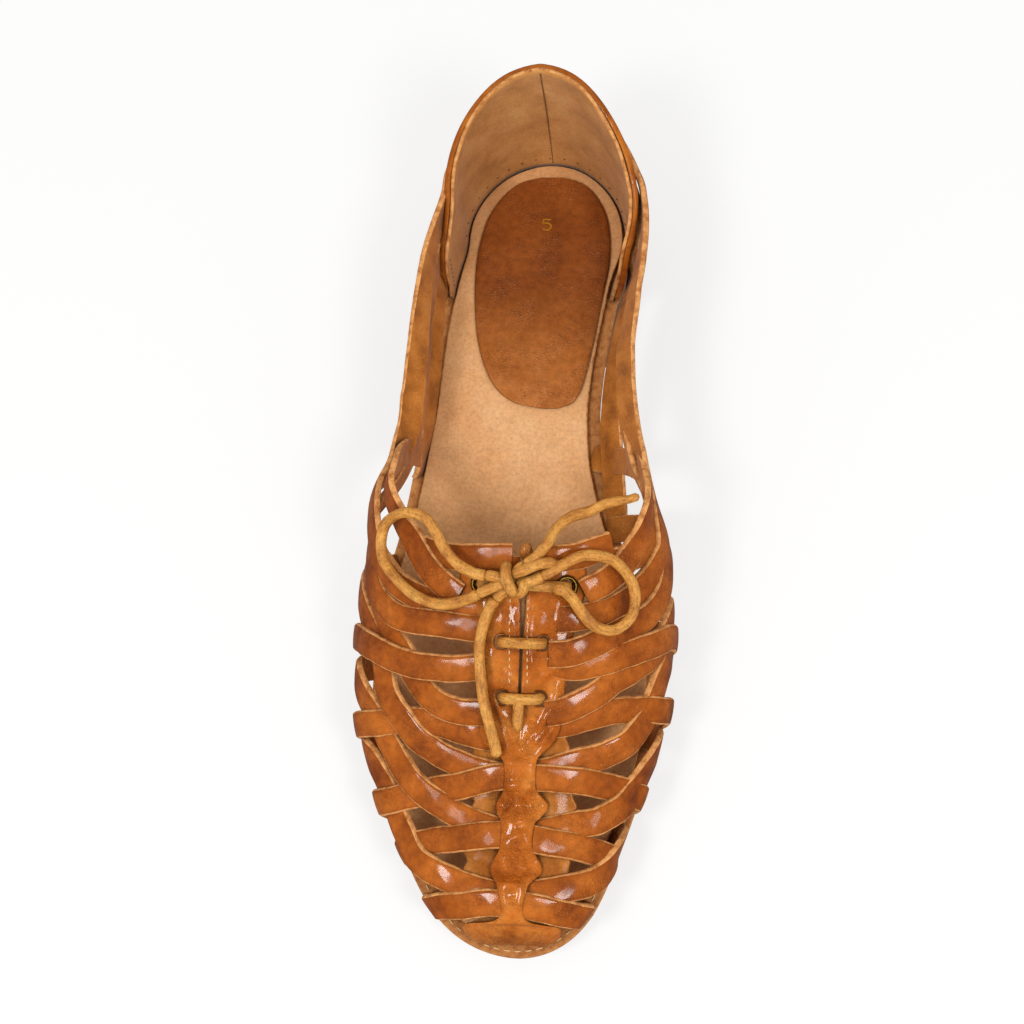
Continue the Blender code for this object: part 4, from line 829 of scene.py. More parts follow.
def make_underlay():
    rows = spread([(*row, 0.0) for row in UNDERLAY], 12)
    along, low, high, _ = rows.T
    line = np.stack((along * LENGTH, 0 * along, 0 * along), axis=-1)
    low = low + ripple(line, 4 * MM, 0.03, 3.0)
    high = high + ripple(line, 4 * MM, 0.03, 9.0)
    t = np.linspace(0, 1, 48)
    around = low[:, None] + (high - low)[:, None] * t[None, :]
    along = along[:, None] + 0 * around
    points = on_last(along, around, UNDERLAY_THICK + 0 * around)
    points = points + last_normals(along, around) * ripple(points, 6 * MM, 0.35 * MM, 4.0)[..., None]
    underlay = make_piece("underlay", points, grid_faces(*around.shape)[:, ::-1],
                          (UNDERLAY_GRAIN, STRAP_EDGE, STRAP_FLESH), uvs=points[..., :2])
    thicken(underlay, UNDERLAY_THICK)


UNDERLAY_GRAIN = grain_leather("underlay_grain", "80400F", "A66224", "BC7C40", crinkle=0.7, gloss=0.36,
                               coat=0.2)
make_underlay()


# Straps of the weave
# Bands of waxed vegetable-tanned leather, cut by hand, woven over each other and tucked under the
# insole. They are tan on the grain side and mustard on the flesh side, with pale cut edges.

STRAP_WIDTH = 7.8 * MM
STRAP_THICK = 1.8 * MM
LAYER_RISE = 1.35 * MM      # a strap over another one lies this much higher
STRAP_STEPS = 9             # stations between two rows of a route
EDGE_ROUND = 0.20 * MM
EDGE_BEVEL = 0.50 * MM      # how far the cut edge stands out past the grain side
SIDE_WOBBLE = 0.16 * MM     # how far a hand-cut side strays
FACE_WOBBLE = 0.30 * MM     # how far a strap lifts and sinks along its run
CROWN = 0.22 * MM
# Each strap as rows of (along, round, layer) from the spine out to the sole. layer counts the leathers
# that it lies on.
STRAPS = {
    "outer_curved_1": ((0.200, 0.02, 1.0), (0.201, -0.09, 0.9), (0.213, -0.22, 0.2), (0.234, -0.33, 0.5),
                       (0.264, -0.41, 1.2), (0.290, -0.46, 0.5), (0.320, -0.49, 0.0), (0.350, -0.54, 0.0),
                       (0.385, -0.63, 0.4), (0.420, -0.74, 0.6), (0.450, -0.86, 0.2), (0.465, -1.0, 0.2)),
    "outer_curved_2": ((0.136, 0.03, 1.0), (0.140, -0.08, 0.9), (0.153, -0.21, 0.2), (0.172, -0.33, 0.8),
                       (0.193, -0.41, 1.2), (0.220, -0.47, 0.5), (0.245, -0.52, 0.0), (0.268, -0.57, 0.0),
                       (0.295, -0.65, 0.2), (0.322, -0.76, 0.3), (0.335, -0.88, 0.1), (0.340, -1.0, 0.2)),
    "outer_curved_3": ((0.069, 0.04, 1.0), (0.072, -0.14, 0.9), (0.081, -0.30, 0.8), (0.095, -0.45, 1.2),
                       (0.112, -0.54, 1.0), (0.136, -0.58, 0.3), (0.165, -0.60, 0.0), (0.192, -0.62, 0.0),
                       (0.218, -0.67, 0.2), (0.236, -0.78, 0.2), (0.246, -0.89, 0.1), (0.250, -1.0, 0.2)),
    "outer_cross_0": ((0.237, -0.06, 0.6), (0.243, -0.16, 0.5), (0.250, -0.24, 0.1), (0.256, -0.33, 0.0),
                      (0.257, -0.42, 0.1), (0.257, -0.53, 1.1), (0.260, -0.68, 1.3), (0.263, -0.80, 1.1),
                      (0.264, -0.90, 0.6), (0.264, -1.0, 0.2)),
    "outer_cross_1": ((0.200, 0.00, 2.0), (0.197, -0.08, 1.9), (0.189, -0.17, 1.2), (0.182, -0.30, 0.1),
                      (0.177, -0.42, 0.1), (0.174, -0.54, 0.9), (0.173, -0.67, 1.2), (0.174, -0.79, 1.0),
                      (0.174, -0.90, 0.5), (0.174, -1.0, 0.2)),
    "outer_cross_2": ((0.134, 0.00, 2.0), (0.133, -0.09, 1.9), (0.130, -0.20, 1.1), (0.127, -0.34, 0.1),
                      (0.124, -0.46, 0.0), (0.121, -0.60, 0.0), (0.118, -0.76, 0.1), (0.116, -0.90, 0.1),
                      (0.115, -1.0, 0.2)),
    "outer_cross_3": ((0.063, 0.00, 2.0), (0.062, -0.12, 1.9), (0.060, -0.30, 1.4), (0.060, -0.48, 1.3),
                      (0.061, -0.65, 1.2), (0.063, -0.80, 0.8), (0.065, -0.90, 0.4), (0.066, -1.0, 0.2)),
    "outer_curved_0": ((0.264, -0.10, 1.5), (0.266, -0.18, 1.5), (0.276, -0.26, 0.9), (0.294, -0.32, 0.2),
                       (0.320, -0.37, 0.1), (0.355, -0.45, 0.1), (0.390, -0.52, 0.1), (0.422, -0.62, 0.1),
                       (0.440, -0.78, 0.1), (0.445, -0.90, 0.1), (0.445, -1.0, 0.2)),
    "outer_band": ((0.312, -0.10, 1.1), (0.310, -0.20, 1.3), (0.313, -0.30, 1.5), (0.325, -0.42, 1.6),
                   (0.342, -0.55, 1.4), (0.358, -0.68, 1.2), (0.364, -0.80, 1.0), (0.365, -0.90, 0.5),
                   (0.365, -1.0, 0.2)),
    "outer_arch": ((0.350, -0.10, 0.7), (0.353, -0.18, 1.2), (0.359, -0.28, 1.4), (0.367, -0.39, 1.3),
                   (0.388, -0.48, 1.2), (0.412, -0.54, 0.9), (0.440, -0.60, 0.4), (0.468, -0.66, 0.2),
                   (0.500, -0.72, 0.2), (0.545, -0.80, 0.3), (0.600, -0.84, 0.4), (0.680, -0.850, 0.3),
                   (0.760, -0.845, 0.3), (0.815, -0.842, 0.4)),
    "outer_sweep": ((0.372, -0.12, 0.6), (0.376, -0.20, 0.6), (0.383, -0.29, 0.9), (0.402, -0.39, 1.8),
                    (0.430, -0.48, 1.8), (0.455, -0.545, 1.4), (0.485, -0.60, 1.3), (0.515, -0.66, 1.6),
                    (0.550, -0.73, 1.8), (0.600, -0.78, 1.6), (0.680, -0.793, 1.1), (0.760, -0.795, 0.7),
                    (0.820, -0.797, 0.7)),
    "outer_collar": ((0.385, -0.185, 1.3), (0.390, -0.205, 1.5), (0.399, -0.235, 1.6), (0.422, -0.30, 1.2),
                     (0.455, -0.37, 1.0), (0.482, -0.44, 1.1), (0.506, -0.51, 1.0), (0.530, -0.59, 0.8),
                     (0.552, -0.68, 0.7), (0.571, -0.77, 0.6), (0.586, -0.86, 0.5), (0.595, -0.93, 0.3),
                     (0.600, -1.0, 0.2)),
    "outer_low": ((0.575, -1.0, 0.2), (0.585, -0.95, 0.1), (0.615, -0.920, 0.0), (0.680, -0.905, 0.1),
                  (0.750, -0.895, 0.3), (0.800, -0.890, 0.4)),
    "inner_curved_1": ((0.203, -0.02, 1.0), (0.205, 0.11, 0.9), (0.215, 0.23, 0.2), (0.225, 0.35, 0.6),
                       (0.240, 0.45, 1.2), (0.261, 0.53, 0.7), (0.284, 0.59, 0.0), (0.315, 0.64, 0.1),
                       (0.345, 0.72, 0.1), (0.372, 0.82, 0.1), (0.385, 0.91, 0.1), (0.390, 1.0, 0.2)),
    "inner_curved_2": ((0.136, -0.03, 1.0), (0.138, 0.12, 0.9), (0.148, 0.28, 0.3), (0.157, 0.44, 1.2),
                       (0.175, 0.56, 0.9), (0.197, 0.65, 0.2), (0.222, 0.72, 0.1), (0.245, 0.80, 0.1),
                       (0.262, 0.90, 0.1), (0.268, 1.0, 0.2)),
    "inner_curved_3": ((0.070, -0.04, 1.0), (0.071, 0.14, 0.9), (0.078, 0.34, 0.9), (0.090, 0.55, 1.2),
                       (0.108, 0.70, 0.6), (0.128, 0.80, 0.2), (0.145, 0.90, 0.1), (0.152, 1.0, 0.2)),
    "inner_cross_0": ((0.250, 0.06, 0.2), (0.254, 0.14, 0.1), (0.258, 0.21, 0.2), (0.267, 0.30, 0.3),
                      (0.275, 0.40, 0.2), (0.279, 0.51, 0.1), (0.284, 0.64, 1.1), (0.288, 0.77, 1.1),
                      (0.289, 0.89, 0.5), (0.289, 1.0, 0.2)),
    "inner_cross_1": ((0.199, 0.00, 2.0), (0.199, 0.12, 1.9), (0.198, 0.26, 1.3), (0.195, 0.39, 0.5),
                      (0.192, 0.52, 0.1), (0.190, 0.66, 0.1), (0.190, 0.78, 1.0), (0.190, 0.90, 0.5),
                      (0.190, 1.0, 0.2)),
    "inner_cross_2": ((0.133, 0.00, 2.0), (0.131, 0.13, 1.9), (0.127, 0.28, 1.2), (0.123, 0.44, 0.4),
                      (0.120, 0.60, 0.1), (0.118, 0.76, 0.2), (0.117, 0.89, 0.2), (0.117, 1.0, 0.2)),
    "inner_cross_3": ((0.062, 0.00, 2.0), (0.060, 0.15, 1.9), (0.057, 0.35, 1.5), (0.056, 0.55, 1.4),
                      (0.057, 0.72, 1.1), (0.059, 0.88, 0.5), (0.060, 1.0, 0.2)),
    "inner_curved_0": ((0.266, 0.10, 1.4), (0.271, 0.17, 1.4), (0.284, 0.26, 1.1), (0.302, 0.34, 0.7),
                       (0.320, 0.45, 0.2), (0.340, 0.56, 0.1), (0.368, 0.66, 0.1), (0.395, 0.76, 0.1),
                       (0.415, 0.88, 0.1), (0.422, 1.0, 0.2)),
    "inner_band": ((0.318, 0.10, 0.8), (0.314, 0.18, 0.6), (0.320, 0.28, 0.9), (0.332, 0.38, 1.4),
                   (0.348, 0.51, 1.4), (0.364, 0.65, 1.2), (0.370, 0.78, 1.0), (0.371, 0.90, 0.5),
                   (0.371, 1.0, 0.2)),
    "inner_arch": ((0.326, 0.10, 1.5), (0.328, 0.17, 1.9), (0.335, 0.23, 1.9), (0.348, 0.31, 1.5),
                   (0.364, 0.40, 0.9), (0.380, 0.50, 0.9), (0.406, 0.58, 1.1), (0.440, 0.66, 1.0),
                   (0.476, 0.76, 0.6), (0.504, 0.88, 0.2), (0.514, 1.0, 0.2)),
    "inner_sweep": ((0.362, 0.12, 1.2), (0.366, 0.20, 1.4), (0.374, 0.29, 1.1), (0.390, 0.39, 0.3),
                    (0.412, 0.48, 0.3), (0.436, 0.56, 1.0), (0.458, 0.63, 1.2), (0.485, 0.68, 1.0),
                    (0.515, 0.71, 1.2), (0.550, 0.750, 1.7), (0.600, 0.780, 1.6), (0.680, 0.790, 1.3),
                    (0.760, 0.790, 1.5), (0.820, 0.785, 1.8)),
    "inner_collar": ((0.392, 0.215, 1.2), (0.397, 0.24, 1.4), (0.407, 0.29, 1.6), (0.428, 0.37, 1.4),
                     (0.455, 0.46, 1.4), (0.482, 0.54, 1.4), (0.506, 0.62, 1.2), (0.530, 0.70, 1.0),
                     (0.554, 0.78, 0.8), (0.576, 0.86, 0.6), (0.592, 0.93, 0.4), (0.600, 1.0, 0.2)),
    "inner_mid": ((0.425, 0.29, 0.3), (0.430, 0.36, 0.4), (0.440, 0.45, 0.3), (0.460, 0.56, 0.2),
                  (0.485, 0.66, 0.1), (0.520, 0.75, 0.0), (0.560, 0.80, 0.1), (0.620, 0.83, 0.3),
                  (0.690, 0.845, 0.5), (0.760, 0.842, 0.7), (0.815, 0.838, 0.9)),
    "inner_low": ((0.510, 1.0, 0.2), (0.525, 0.965, 0.1), (0.560, 0.935, 0.0), (0.620, 0.912, 0.1),
                  (0.690, 0.900, 0.3), (0.760, 0.892, 0.5), (0.800, 0.888, 0.6)),
    "throat_outer": ((0.424, -0.03, 1.2), (0.424, -0.10, 1.2), (0.425, -0.18, 0.9), (0.430, -0.26, 0.4),
                     (0.440, -0.34, 0.2)),
    "throat_inner": ((0.424, 0.05, 1.2), (0.424, 0.11, 1.2), (0.428, 0.18, 1.0), (0.436, 0.25, 0.9),
                     (0.445, 0.33, 0.6)),
}
# Where the side straps go on along the counter's outside: share of the way round it, share of its
# height, and how far the strap stands off its face
STRAP_ENDS = {
    "outer_sweep": ((0.34, 0.48, 0.6 * MM), (0.46, 0.50, 0.1 * MM), (0.58, 0.52, -0.2 * MM),
                    (0.70, 0.54, -0.4 * MM)),
    "outer_arch": ((0.32, 0.32, 0.3 * MM), (0.44, 0.34, -0.1 * MM), (0.56, 0.36, -0.4 * MM)),
    "outer_low": ((0.14, 0.17, 0.2 * MM), (0.26, 0.18, -0.2 * MM), (0.38, 0.20, -0.4 * MM)),
    "inner_sweep": ((1.62, 0.47, 1.8 * MM), (1.52, 0.52, 1.0 * MM), (1.42, 0.57, 0.2 * MM),
                    (1.31, 0.59, -0.2 * MM), (1.20, 0.60, -0.4 * MM)),
    "inner_mid": ((1.68, 0.33, 0.6 * MM), (1.55, 0.35, 0.1 * MM), (1.42, 0.38, -0.4 * MM)),
    "inner_low": ((1.85, 0.17, 0.3 * MM), (1.72, 0.18, -0.2 * MM), (1.60, 0.20, -0.4 * MM)),
}
# How far a side strap's upper edge leans outwards, in degrees at shares of the length
STRAP_LEAN = {
    "outer_collar": ((0.45, 0), (0.50, 14), (0.55, 12), (0.59, 2)),
    "inner_collar": ((0.45, 0), (0.50, 18), (0.55, 24), (0.59, 6)),
    "outer_sweep": ((0.52, 0), (0.57, 30), (0.61, 48), (0.68, 40), (0.76, 24), (0.82, 10)),
    "outer_low": ((0.58, 0), (0.65, 22), (0.74, 26), (0.80, 10)),
    "inner_sweep": ((0.50, 0), (0.56, 26), (0.62, 40), (0.70, 36), (0.76, 24), (0.82, 12)),
    "inner_low": ((0.52, 0), (0.60, 24), (0.72, 26), (0.80, 10)),
}


def strap_profile(width, thick):
    """Section of a strap: (across, up) points from the grain side round to the flesh side, and their sides.

    The cut edges slope out, so that they show as a light line from above."""
    half, r, bevel = width / 2, EDGE_ROUND, EDGE_BEVEL
    face = half - bevel
    grain = [(x, thick + CROWN * (1 - (x / face) ** 2)) for x in np.linspace(-face + r, face - r, 11)]
    right = [(face, thick - 0.4 * r), (half - 0.25 * bevel, thick * 0.74), (half, thick * 0.45), (half, r)]
    flesh = [(x, 0.0) for x in np.linspace(half - r, -half + r, 9)]
    left = [(-x, y) for x, y in right[::-1]]
    profile = np.array(grain + right + flesh + left)
    picks = [0] * 11 + [1] * 4 + [2] * 8 + [1] * 4 + [0]
    return profile, np.array(picks)


def strap_route(name):
    """Centre line, outward direction and lean of a strap, on the last and then on the counter."""
    rows = np.array(STRAPS[name])
    along, around, layer = rows.T
    places = on_last(along, around, layer * LAYER_RISE)
    outs = last_normals(along, around)
    leans = lookup(STRAP_LEAN[name], along, 1) if name in STRAP_LEAN else np.zeros(len(along))
    if name in STRAP_ENDS:
        share, rise, off = np.array(STRAP_ENDS[name]).T
        places = np.vstack((places, counter_points(share, rise * COUNTER_HEIGHT, COUNTER_THICK + off)))
        outs = np.vstack((outs, counter_out(share)))
        leans = np.concatenate((leans, np.zeros(len(share))))
    fine = spread(np.hstack((places, outs, leans[:, None])), STRAP_STEPS)
    return fine[:, :3], unit(fine[:, 3:6]), fine[:, 6]


def make_strap(name, seed):
    centre, outs, leans = strap_route(name)
    ahead = unit(np.gradient(centre, axis=0))
    across = unit(np.cross(ahead, outs))
    outs = np.cross(across, ahead)
    rising = np.where(across[:, 2:] > 0, across, -across)
    lean = np.radians(leans)[:, None]
    outs = outs * np.cos(lean) - rising * np.sin(lean)
    across = unit(np.cross(ahead, outs))
    run = lengths_along(centre)
    profile, picks = strap_profile(STRAP_WIDTH, STRAP_THICK)
    line = np.stack((run, np.zeros_like(run), np.zeros_like(run)), axis=-1)
    lift = ripple(line, 9 * MM, FACE_WOBBLE, seed)
    shift = ripple(line, 7 * MM, SIDE_WOBBLE * 2, seed + 31)
    sides = [ripple(line, 2.5 * MM, SIDE_WOBBLE, seed + 57), ripple(line, 2.5 * MM, SIDE_WOBBLE, seed + 83)]
    left = profile[:, 0] < 0
    to_edge = np.minimum(1, np.abs(profile[:, 0]) / (STRAP_WIDTH / 2))
    a = profile[:, 0][None, :] + shift[:, None]
    a = a + np.where(left, sides[0][:, None], sides[1][:, None]) * to_edge ** 6
    h = profile[:, 1][None, :] + lift[:, None]
    rings = centre[:, None, :] + across[:, None, :] * a[..., None] + outs[:, None, :] * h[..., None]
    uvs = np.stack(np.broadcast_arrays(run[:, None], a), axis=-1)
    return ring_body("strap_" + name, rings, uvs, picks, STRAP_SIDES)


STRAP_GRAIN = grain_leather("strap_grain", "76340C", "9A4C12", "B2601E", crinkle=0.45, half=STRAP_WIDTH / 2)
STRAP_SIDES = (STRAP_GRAIN, STRAP_EDGE, STRAP_FLESH)
for number, strap_name in enumerate(STRAPS):
    make_strap(strap_name, seed=11.3 * number)


# Spine
# One piece of the same leather from the throat to the toe flap, slit at the top for the lace and
# pulled down between the slots that hold the straps, so it bulges and creases.

SPINE_THICK = 1.7 * MM
SLIT_WIDTH = 2.4 * MM
LACE_HOLE = 4.6 * MM
SPINE_STEPS = 10
HALF_COLUMNS = 30
PUFF = 1.0 * MM             # how far the spine domes between its edges
WRINKLE = 0.24 * MM
HEM = 0.30 * MM             # depth of the stitched groove beside the slit
# A row from the throat to the toe: its two edges and its height in layers. Between the slots it
# bulges down on to the underlay.
SPINE = (
    (0.425, -0.175, 0.215, 0.9), (0.402, -0.185, 0.225, 0.8), (0.372, -0.165, 0.205, 0.8),
    (0.342, -0.145, 0.180, 0.8), (0.312, -0.130, 0.165, 0.8), (0.277, -0.120, 0.165, 0.9),
    (0.250, -0.120, 0.160, 1.2), (0.234, -0.105, 0.135, 1.6), (0.222, -0.055, 0.090, 2.4),
    (0.212, -0.035, 0.082, 2.9), (0.190, -0.035, 0.088, 2.9), (0.182, -0.040, 0.105, 2.4),
    (0.168, -0.065, 0.155, 1.2), (0.156, -0.055, 0.130, 2.2), (0.147, -0.040, 0.105, 2.9),
    (0.123, -0.040, 0.110, 2.9), (0.115, -0.050, 0.130, 2.2), (0.097, -0.090, 0.190, 1.2),
    (0.084, -0.070, 0.150, 2.1), (0.076, -0.050, 0.125, 2.9), (0.050, -0.060, 0.145, 2.6),
    (0.043, -0.420, 0.500, 1.1), (0.036, -0.620, 0.680, 0.7), (0.030, -0.880, 0.900, 0.4),
    (0.026, -1.000, 1.000, 0.3),
)
# Lace holes: along share and the round shares of the two holes
LACE_BARS = ((0.337, -0.055, 0.078), (0.281, -0.046, 0.076))
EYELETS = (0.397, -0.115, 0.150)
SLIT = (0.276, 0.004)       # where the slit in the spine stops, and its place round
# Creases: along, round, direction in degrees from the foot's line, length, width and depth in mm
CREASES = (
    (0.357, 0.115, 10, 12, 5.0, 0.7), (0.345, 0.135, 60, 9, 2.0, -0.5), (0.385, 0.120, 70, 9, 2.0, -0.5),
    (0.306, 0.120, 50, 10, 1.8, 0.6), (0.299, 0.135, 55, 10, 1.4, -0.5), (0.315, 0.090, 75, 7, 1.4, 0.4),
    (0.275, 0.130, 15, 14, 3.0, 0.6), (0.255, 0.100, 35, 9, 1.6, 0.6), (0.248, 0.118, 35, 9, 1.4, -0.6),
    (0.242, 0.128, 30, 9, 1.6, 0.5), (0.265, -0.055, -30, 9, 1.6, 0.6), (0.255, -0.068, -35, 9, 1.4, -0.6),
    (0.248, -0.045, -20, 8, 1.4, 0.5), (0.366, -0.110, -10, 10, 3.0, 0.5), (0.315, -0.085, 5, 14, 4.0, 0.5),
    (0.300, -0.060, 10, 8, 1.2, -0.4), (0.390, -0.110, -60, 9, 1.8, -0.5), (0.350, -0.100, -60, 8, 1.6, -0.5),
    (0.232, -0.010, -30, 9, 1.6, -0.8), (0.232, 0.050, 30, 9, 1.6, -0.8), (0.236, 0.020, 0, 9, 2.4, 0.6),
    (0.337, -0.078, 90, 6, 3.0, -0.5), (0.337, 0.100, 90, 6, 3.0, -0.5),
    (0.281, -0.068, 90, 6, 3.0, -0.5), (0.281, 0.098, 90, 6, 3.0, -0.5),
    (0.189, 0.025, 90, 12, 1.2, -0.5), (0.183, 0.045, 90, 10, 2.4, 0.6), (0.176, 0.100, 40, 9, 2.0, -0.5),
    (0.176, -0.030, -40, 8, 2.0, -0.5), (0.161, 0.018, 0, 9, 5.0, 1.0), (0.166, 0.052, -35, 8, 1.4, -0.7),
    (0.166, -0.015, 35, 8, 1.4, -0.7), (0.139, 0.045, 90, 2.4, 2.4, -0.7), (0.131, 0.050, 60, 6, 2.0, 0.5),
    (0.109, 0.020, 85, 8, 0.8, -0.4), (0.104, 0.022, 90, 8, 0.8, -0.4), (0.099, 0.020, 95, 7, 0.8, -0.4),
    (0.095, 0.100, 40, 9, 2.0, -0.5), (0.095, -0.040, -40, 9, 2.0, -0.5), (0.079, 0.028, 80, 7, 4.0, 0.7),
    (0.067, 0.045, 90, 2.2, 2.2, -0.6),
)
# The two seams beside the slit: place round, and where each one starts and stops
SLIT_SEAMS = ((-0.034, 0.29, 0.395), (0.030, 0.29, 0.395))
SLIT_STITCH = (1.9 * MM, 1.2 * MM, 0.42 * MM)   # gap, length and thickness
TAB_PLACE, TAB_SIZE = (0.4315, 0.012), (0.0105, 0.021)      # along and round, of the tab over the slit
TAB_RISE, TAB_DROP, TAB_THICK = 6.4 * MM, 0.9 * MM, 1.2 * MM


def creases(points, table):
    """Height that the creases add at each point: soft troughs and ridges."""
    height = np.zeros(points.shape[:-1])
    for along, around, turn, length, width, depth in table:
        middle = last_points(along, around)
        angle = math.radians(turn)
        run = np.array((math.sin(angle), math.cos(angle), 0.0))
        away = points - middle
        on = away @ run
        off = np.linalg.norm((away - on[..., None] * run)[..., :2], axis=-1)
        height += depth * MM * np.exp(-(on / (length * MM / 2)) ** 2 - (off / (width * MM / 2)) ** 2)
    return height


def spine_at(along, around):
    """Points on the spine's grain side."""
    rows = spread(SPINE, SPINE_STEPS)[::-1]
    low, high, layer = (np.interp(along, rows[:, 0], rows[:, i]) for i in (1, 2, 3))
    share = (around - low) / (high - low)
    dome = 1 - (2 * share - 1) ** 4
    height = layer * LAYER_RISE + SPINE_THICK + PUFF * (dome - 0.75)
    points = on_last(along, around, height)
    more = creases(points, CREASES) + ripple(points, 5.0 * MM, WRINKLE)
    more = more + ripple(points, 2.0 * MM, WRINKLE * 0.45, 7.0)
    for seam, start, stop in SLIT_SEAMS:
        inside = np.clip((along - start) / 0.01, 0, 1) * np.clip((stop - along) / 0.01, 0, 1)
        more = more - HEM * np.exp(-((around - seam) / 0.008) ** 2) * inside
    fade = np.clip((along - 0.03) / 0.03, 0.15, 1)
    return points + last_normals(along, around) * (more * fade)[..., None]


def round_holes(points, faces, holes):
    """Cut round holes: the faces inside go, and the points round them move on to the circle."""
    for along, around, radius in holes:
        middle, up = last_points(along, around), last_normals(along, around)
        away = points - middle
        flat = away - (away @ up)[:, None] * up
        distance = np.linalg.norm(flat, axis=1)
        inside = (distance < radius * 1.10) & (np.abs(away @ up) < 9 * MM)
        gone = inside[faces].all(axis=1)
        rim = np.intersect1d(faces[gone], faces[~gone])
        points[rim] += flat[rim] * (radius / distance[rim] - 1)[:, None]
        faces = faces[~gone]
    return faces


def make_spine():
    rows = spread(SPINE, SPINE_STEPS)
    along, low, high, _ = rows.T
    stop, middle = SLIT
    half_girth = BALL_WIDTH * 0.5 * math.pi / 2 / WALL_SHARE
    opening = np.interp(along - stop, (0, 0.008, 0.07, 0.11), (0, 0.42, 0.42, 1))
    half_gap = SLIT_WIDTH / 2 / half_girth * opening
    t = np.linspace(0, 1, HALF_COLUMNS)[None, :]
    halves = ((low, np.maximum(middle - half_gap, low)), (middle + half_gap, high))
    grids = []
    for start, end in halves:
        around = start[:, None] + (end - start)[:, None] * t
        grids.append(spine_at(along[:, None] + 0 * around, around))
    count = len(along) * HALF_COLUMNS
    points = np.vstack([grid.reshape(-1, 3) for grid in grids])
    faces = grid_faces(len(along), HALF_COLUMNS)
    faces = np.vstack((faces, faces + count))
    for row in np.nonzero(along < stop)[0]:
        left, right = row * HALF_COLUMNS + HALF_COLUMNS - 1, count + row * HALF_COLUMNS
        points[left] = points[right] = (points[left] + points[right]) / 2
        faces[faces == right] = left
    rows = LACE_BARS + (EYELETS,)
    holes = [(place, around, LACE_HOLE / 2 * 0.94) for place, *pair in rows for around in pair]
    faces = round_holes(points, faces, holes)[:, ::-1]
    uvs = np.stack((points[:, 1], points[:, 0]), axis=-1)
    spine = make_piece("spine", points, faces, (SPINE_GRAIN, STRAP_EDGE, STRAP_FLESH), uvs=uvs)
    thicken(spine, SPINE_THICK)


def make_slit_trim():
    """The pale strip that shows in the slit, the small tab over its top and the stitches beside it."""
    along = np.linspace(0.282, 0.418, 50)[:, None]
    around = np.linspace(-0.006, 0.032, 6)[None, :] + 0 * along
    rows = spread(SPINE, SPINE_STEPS)[::-1]
    height = np.interp(along, rows[:, 0], rows[:, 3]) * LAYER_RISE + 0.5 * MM + 0 * around
    strip = on_last(along + 0 * around, around, height)
    make_piece("spine_strip", strip, grid_faces(*around.shape)[:, ::-1], (TONGUE,), uvs=strip[..., :2])
    turn = np.linspace(0, 2 * math.pi, 28, endpoint=False)
    size = np.linspace(0.0, 1.0, 6)[:, None]
    along = TAB_PLACE[0] + TAB_SIZE[0] * size * np.cos(turn)
    around = TAB_PLACE[1] + TAB_SIZE[1] * size * np.sin(turn)
    height = (TAB_RISE - TAB_DROP * size ** 4) + 0 * along
    tab = on_last(along, around, height)
    sides = (UNDERLAY_GRAIN, STRAP_EDGE, STRAP_EDGE)
    piece = make_piece("throat_tab", tab, grid_faces(*along.shape, closed=True), sides,
                       uvs=tab[..., :2])
    thicken(piece, TAB_THICK)
    for number, (seam, start, stop) in enumerate(SLIT_SEAMS, 1):
        along = np.linspace(start + 0.004, stop - 0.012, 60)
        around = seam + np.interp(along, (0.29, 0.36), (0.008, 0.0) if seam < 0 else (0.0, -0.010))
        line = spine_at(along, around)
        stitch_row(f"spine_stitches_{number}", line, last_normals(along, around),
                   *SLIT_STITCH, THREAD)


# Painted shade in two small dimples of the spine, and the toe flap, which the photo shows darker: place, size
# and depth
SPOTS = ((on_last(0.139, 0.045, 3 * MM), 1.1 * MM, 0.7), (on_last(0.067, 0.045, 3 * MM), 0.9 * MM, 0.7),
         (on_last(0.012, -0.10, 2 * MM), 12 * MM, 0.48), (on_last(0.012, 0.18, 2 * MM), 12 * MM, 0.48))
SPINE_GRAIN = grain_leather("spine_grain", "8A400D", "B05C1A", "C67830", crinkle=0.8, gloss=0.25, coat=0.45,
                            spots=SPOTS)
TONGUE = flesh_leather("tongue", "7E5430", "9A6E44", "B48A5E", nap=0.6)
make_spine()
make_slit_trim()


# Eyelets
# Two small rings of aged brass, satin and olive with tarnish, pressed through the top of the spine.
# The CAD's own rings show, with this finish on them.

BRASS = even_finish("aged_brass", "6E5420", 0.42, metallic=1.0)
for eyelet in ("eyelet_outer", "eyelet_inner"):
    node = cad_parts[eyelet]
    node.data.materials.clear()
    node.data.materials.append(BRASS)
    node.data.shade_smooth()


# Lace
# A round waxed leather thong, laced in three bars over the spine and tied in a bow. Its loops and
# ends lie loose; the knot is made of short strands that wrap the crossing.

LACE_DIAMETER = 3.1 * MM
LACE_SIDES = 14
LACE_TWIST = 55.0           # how fast its fibres turn round it, in radians per metre
